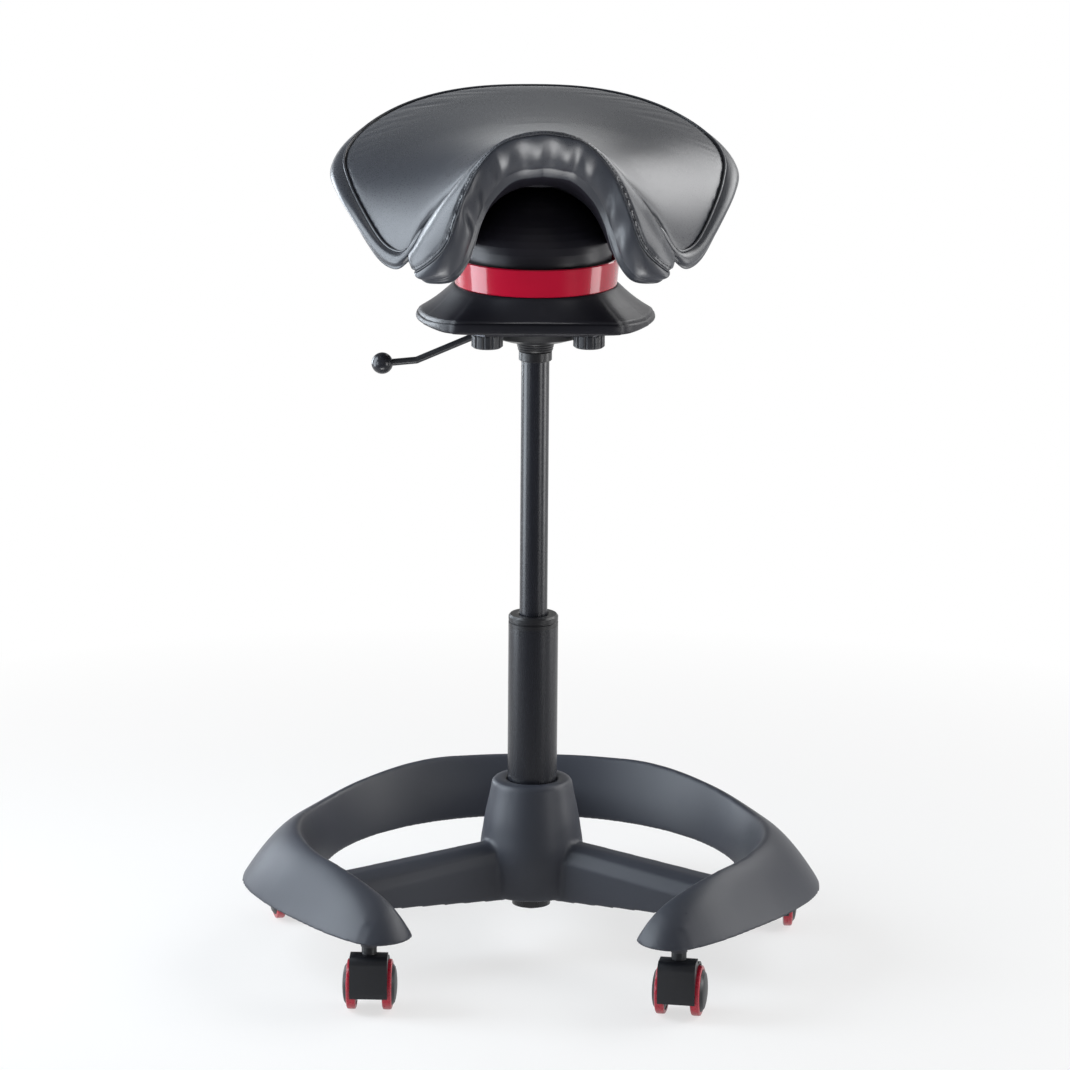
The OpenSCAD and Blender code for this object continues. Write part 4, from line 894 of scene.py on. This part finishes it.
# %% Rails of the front
FRONT_END = 8.0
FRONT_TS = [(v, 0) for v in (16, 15, 14, 13, 12, 11, 10.4, 10, 9.6)]
FOLD_RAIL = [(0, -157, 864.5), (34, -154, 857.5), (56, -151, 839.5), (72, -154, 813),
             (83, -158, 784), (92, -157, 758), (105, -150, 741), (119, -137, 728), (128, -126, 722)]
LIP_RAIL = [(0, -128, 819), (28, -128, 814), (48, -130, 796), (59, -132, 775), (66, -135, 753),
            (74, -139, 734), (87, -144, 720), (107, -139, 717), (123, -128, 719)]


def sided(points, s):
    """Mirror the points that belong to the sitter's right side."""
    return np.where((s < 0)[..., None], points * (-1, 1, 1), points)


def front_seam(s, scale, depth):
    """The point of the seam that belongs to front position s, drawn in and sunk."""
    t = curve(FRONT_TS, np.abs(s))[..., 0]
    return sided(saddle(leant(lerp(SEAT_MID, seam(t), scale), depth), depth), s)


def fold_at(s):
    """The stitched fold at s."""
    return sided(curve(FOLD_RAIL, np.abs(s)), s)


def lip_at(s):
    """The arch's lower lip at s."""
    return sided(curve(LIP_RAIL, np.abs(s)), s)


def front_frames(s):
    """Seam point, fold, lip, and the outward directions of the pads' top and of the lining."""
    a, f, l = front_seam(s, 1.0, 0.0), fold_at(s), lip_at(s)
    run = fold_at(s + 0.05) - fold_at(s - 0.05)
    return a, f, l, unit(np.cross(f - a, run)), unit(np.cross(l - f, run))


# %% Thigh pads
def taper(rings, s, start, end):
    """Towards each end the sections shrink to their own middle, as a quarter circle does."""
    share = np.clip((np.abs(s) - start) / (end - start), 0, 1)
    size = np.sqrt(np.clip(1 - share**2, 0.0004, 1))[:, None, None]
    middle = rings.mean(1, keepdims=True)
    return middle + (rings - middle) * size


def pad_rings(s):
    """A section from the seam over a soft crown to the fold, down behind the lining and back. The
    crown rises by puff, which is small where the pads are narrow, over the pommel."""
    a, f, l, up, out = front_frames(s)
    e, w = unit(f - a), np.linalg.norm(f - a, axis=-1, keepdims=True)
    puff, back = np.clip(0.17 * w - 1.4, 0.8, 6.5), 5.35
    crown = [lerp(a, f, share) + high * puff * up for share, high in ((0.36, 0.8), (0.62, 0.8), (0.86, 0.44))]
    behind = [lerp(f, l, share) - back * out for share in (0.3, 0.62, 0.86)]
    ring = [front_seam(s, 1.004, 9.0), a + 0.8 * e - 4.6 * up, a + np.minimum(6, 0.16 * w) * e - 0.6 * up,
            *crown, f - 0.3 * e + 0.3 * up, lerp(f, l, 0.08) - 1.9 * out, *behind,
            front_seam(s, 1.0, PAD - 2), front_seam(s, 1.002, PAD / 2)]
    return seat_turned(taper(rounded_rings(np.stack(ring, 1), 52), s, 7.1, FRONT_END))


def pad_line(inside, lift, reach=7.6):
    """A line along the pads, that many millimetres inside the fold."""
    s = np.linspace(-reach, reach, 600)
    a, f, _, up, _ = front_frames(s)
    return seat_turned(f - inside * unit(f - a) + lift * up)


def pad_seam():
    """The line where the pads meet the main panel."""
    return seat_turned(front_seam(np.linspace(-7.6, 7.6, 500), 1.0, 5.0))


STITCH_IN, STITCH_LIFT = 5.0, 1.5
pads = skin("thigh_petals", pad_rings(np.linspace(-FRONT_END, FRONT_END, 201)))
pads = swell(pads, np.vstack([pad_seam(), pad_line(0.0, 0.0)]), voxel=3.4, cap=2.4, hold=5.0)
finish_piece(pads, "leather", "seat", "thigh_pads")
press_line(pads, pad_line(STITCH_IN, STITCH_LIFT), width=1.5, depth=0.8)

# %% Lining with its puckers
PUCKERS = [(-3.5, 0.34, 2.8), (-2.45, 0.42, 1.6), (-1.5, 0.26, 2.6), (-0.62, 0.34, 3.0), (0.25, 0.30, 3.2),
           (1.05, 0.26, 3.0), (1.75, 0.36, 2.2), (2.75, 0.42, 1.8), (3.9, 0.45, 2.2)]
PUCKER_DEPTH = [(0, 0.05), (0.15, 0.45), (0.35, 0.85), (0.55, 1.0), (0.7, 0.8), (0.8, 0.25), (1, 0.08)]


def pucker_wave(s):
    """A sum of dips: each is its depth times exp(-((s - place) / width) squared), raised a little
    beside it."""
    wave = np.zeros(len(s))
    for at, wide, deep in PUCKERS:
        wave += deep * (0.45 * np.exp(-(((s - at) / (2.4 * wide)) ** 2)) - np.exp(-(((s - at) / wide) ** 2)))
    return np.clip(wave, -3.8, 1.6)[:, None]


def lining_rings(s):
    """A thin leaf from the fold over the puckers to a smooth hem and its lip, and in under the shell."""
    a, f, l, _, out = front_frames(s)
    wave, thick = pucker_wave(s), 5.0
    depth = PAD + SHELL + 2 * GAP + lerp(1.2, 5.5, ease((np.abs(s) - 4.5) / 2))
    b, low = front_seam(s, 0.86, depth), unit(l - a)
    front = [lerp(f, l, v) + (crown + float(read_off(PUCKER_DEPTH, v)) * wave) * out
             for v, crown in ((0.03, -0.3), (0.12, 1.2), (0.24, 2.2), (0.38, 2.8), (0.52, 2.8), (0.64, 2.2),
                              (0.74, 1.4), (0.8, 0.7), (0.86, 0.7), (0.95, 0.6))]
    under = [l + 1.5 * low - 0.5 * out, lerp(l, b, 0.12) + 1.2 * low, lerp(l, b, 0.5) + 0.6 * thick * low,
             b + 0.5 * thick * low, b, lerp(l, b, 0.5) + 0.8 * low, l - 0.7 * thick * out + 0.04 * (f - l)]
    behind = [lerp(f, l, v) - inside * out
              for v, inside in ((0.86, 0.8 * thick), (0.62, 0.9 * thick), (0.3, thick), (0.09, 1.5))]
    ring = [*front, *under, *behind]
    return seat_turned(taper(rounded_rings(np.stack(ring, 1), 84), s, 7.2, FRONT_END))


lining = skin("arch_gathers", lining_rings(np.linspace(-FRONT_END, FRONT_END, 561)))
finish_piece(lining, "lining_leather", "seat", "arch_lining")

# %% [markdown]
# The lining doesn't end in the air: behind its lip a black sheet runs in to the dome and closes the
# arch round it. It is painted shade: a dark sheet where the arch's hollow lies in shadow. It is a thin
# sheet from the lip to a circle on the dome, with a wall so that it closes, and it stops well above
# the red band, which the rocking seat would else push it into.

# %% Painted shade: a black sheet between the lip and the dome
DOME_R, PIVOT_Z, SHADE_SHEET_BACK, SHADE_SHEET_WALL, SHADE_SHEET_REACH = 74.6, 720.0, 26.0, 1.6, 4.9


def shade_sheet_rings(s):
    """From just inside the lip to the dome: the point of the dome's upright circle SHADE_SHEET_BACK in
    front of its middle that lies in the lip's own direction. The sheet sags a little between."""
    lip, low = lip_at(s), unit(lip_at(s) - front_seam(s, 1.0, 0.0))
    out_from = lip[:, [0, 2]] - (0, PIVOT_Z)
    circle = math.sqrt(DOME_R**2 - SHADE_SHEET_BACK**2) * unit(out_from)
    ends = np.stack([circle[:, 0], np.full(len(s), -SHADE_SHEET_BACK), PIVOT_Z + circle[:, 1]], 1)
    centre = np.array((0.0, -SHADE_SHEET_BACK, PIVOT_Z))
    start = lip + 0.4 * low + (0, 4.0, 0)
    inward = unit(centre - lerp(start, ends, 0.5))
    sag = 1.6 * inward
    line = [start, lerp(start, ends, 0.33) + sag, lerp(start, ends, 0.66) + sag, ends]
    wall = [p - SHADE_SHEET_WALL * inward for p in line[::-1]]
    return seat_turned(np.stack([*line, *wall], 1))


# Painted shade: a black sheet that fills the arch's shadowed hollow behind the lip.
shade_sheet = skin("arch_shade_sheet", shade_sheet_rings(np.linspace(-SHADE_SHEET_REACH, SHADE_SHEET_REACH, 127)))
finish_piece(shade_sheet, "dome_plastic", "seat")

# %% Side band
BAND_END, BAND_REACH, BAND_BULGE, BAND_DROP = 10.2, 11.2, 14.0, 40.0
BAND_PROFILE = [(0.05, 0.12), (0.3, 0.15), (0.6, 0.23), (0.86, 0.37), (1, 0.55), (0.94, 0.73), (0.7, 0.88),
                (0.3, 0.98)]


def band_rings(t):
    """Out from the seam, round the bulge, down and in to the hem, and up inside along the foam.
    Past BAND_END the band tapers away behind the petals."""
    p, out = seam(t), seam_out(t)
    bulge = BAND_BULGE * lerp(1, 0.45, ease((np.abs(t) - 5) / 3.5))[:, None]
    drop = BAND_DROP * lerp(1, 0.42, ease((np.abs(t) - 2.6) / 4))[:, None]
    seat_edge = saddle(p, 0.0)
    up = np.array((0, 0, 1.0))
    outer = [seat_edge + bulge * v * out - drop * w * up for v, w in BAND_PROFILE]
    hem = saddle(lerp(SEAT_MID, p, 0.965), PAD + SHELL + 2 * GAP + 1.5)
    inner = [saddle(p, d) + GAP * out for d in (PAD - 2, PAD / 2, 8.5)]
    return seat_turned(taper(rounded_rings(np.stack([*outer, hem, *inner], 1), 48), t, BAND_END, BAND_REACH))


side = skin("side_roll", band_rings(np.linspace(-BAND_REACH, BAND_REACH, 341)))
finish_piece(side, "leather", "seat", "side_band")

# %% [markdown]
# ## Piping and stitches
# A thin corded welt lies in the panel's seam, and a row of stitches runs beside the petals' fold.
# The welt is a round profile carried along the seam. A stitch is one small seed-shaped form, and
# all of them are one mesh, made by adding every place to one set of points.

# %% Piping
WELT_DOWN, WELT_OUT, WELT_R = 4.2, 1.2, 1.25


def tube_along(name, path, radius, sides=10):
    """A round profile carried along a path; each ring stands square to the path, with a side level."""
    run = np.roll(path, -1, axis=0) - np.roll(path, 1, axis=0)
    run[0], run[-1] = path[1] - path[0], path[-1] - path[-2]
    run = unit(run)
    across = unit(np.cross(run, np.array((0, 0, 1.0))))
    lift = np.cross(across, run)
    turn = np.linspace(0, 2 * math.pi, sides, endpoint=False)[None, :, None]
    rings = path[:, None] + radius * (np.cos(turn) * across[:, None] + np.sin(turn) * lift[:, None])
    return skin(name, rings)


welt_ts = np.linspace(-9.7, 9.7, 440)
welt_path = seat_turned(saddle(seam(welt_ts), WELT_DOWN) + WELT_OUT * seam_out(welt_ts))
welt = tube_along("seat_welt", welt_path, WELT_R)
finish_piece(welt, "leather", "seat")
fold_cord = tube_along("fold_seam", pad_line(0.4, 0.3, 7.3), 0.55)
finish_piece(fold_cord, "lining_leather", "seat")

# %% Stitches
def on_surface(obj, points):
    """Nearest points of a mesh to some points, and the surface's directions there, in mm."""
    tree = BVHTree.FromPolygons([v.co for v in obj.data.vertices], [p.vertices for p in obj.data.polygons])
    found = [tree.find_nearest(Vector(p) * 0.001) for p in points]
    return np.array([f[0] for f in found]) * 1000, np.array([f[1] for f in found])


def evenly(path, gap):
    """Points along a path, one every gap, and the path's directions there."""
    steps = np.linalg.norm(np.diff(path, axis=0), axis=1)
    run = np.concatenate([[0], np.cumsum(steps)])
    at = np.arange(gap / 2, run[-1], gap)
    points = np.stack([np.interp(at, run, path[:, k]) for k in range(3)], 1)
    ahead_of = np.stack([np.interp(at + 0.5, run, path[:, k]) for k in range(3)], 1)
    return points, unit(ahead_of - points)


STITCH_GAP, STITCH_LONG, THREAD, ON_TOP = 3.6, 2.6, 0.45, 0.2


def stitch_row(name, obj, path):
    """Seed shapes along a path: a small ball stretched along the thread and laid on the leather. Its
    point at latitude a and longitude b is (half length sin a, thread cos a cos b, thread cos a sin b)."""
    a, b = np.meshgrid(np.linspace(-math.pi / 2, math.pi / 2, 7)[1:-1],
                       np.linspace(0, 2 * math.pi, 6, endpoint=False), indexing="ij")
    seed = [np.sin(a) * STITCH_LONG / 2, np.cos(a) * np.cos(b) * THREAD, np.cos(a) * np.sin(b) * THREAD]
    points, quads, fans = ring_faces(np.stack(seed, -1), False)
    spots, runs = evenly(path, STITCH_GAP)
    spots, ups = on_surface(obj, spots)
    runs = unit(runs - ups * np.einsum("ij,ij->i", runs, ups)[:, None])
    across = np.cross(ups, runs)
    placed = (spots[:, None] + points[None, :, :1] * runs[:, None] + points[None, :, 1:2] * across[:, None]
              + (points[None, :, 2:] + ON_TOP) * ups[:, None])
    first = (np.arange(len(spots)) * len(points))[:, None, None]
    quads, fans = (quads + first).reshape(-1, 4), (fans + first).reshape(-1, 3)
    print(name, "stitches", len(spots))
    return put_mesh(name, placed.reshape(-1, 3), quads, fans)


thread = stitch_row("fold_stitches", pads, pad_line(STITCH_IN, STITCH_LIFT, 7.4))
finish_piece(thread, "lining_leather", "seat")

# %% Finish
bpy.context.view_layer.update()
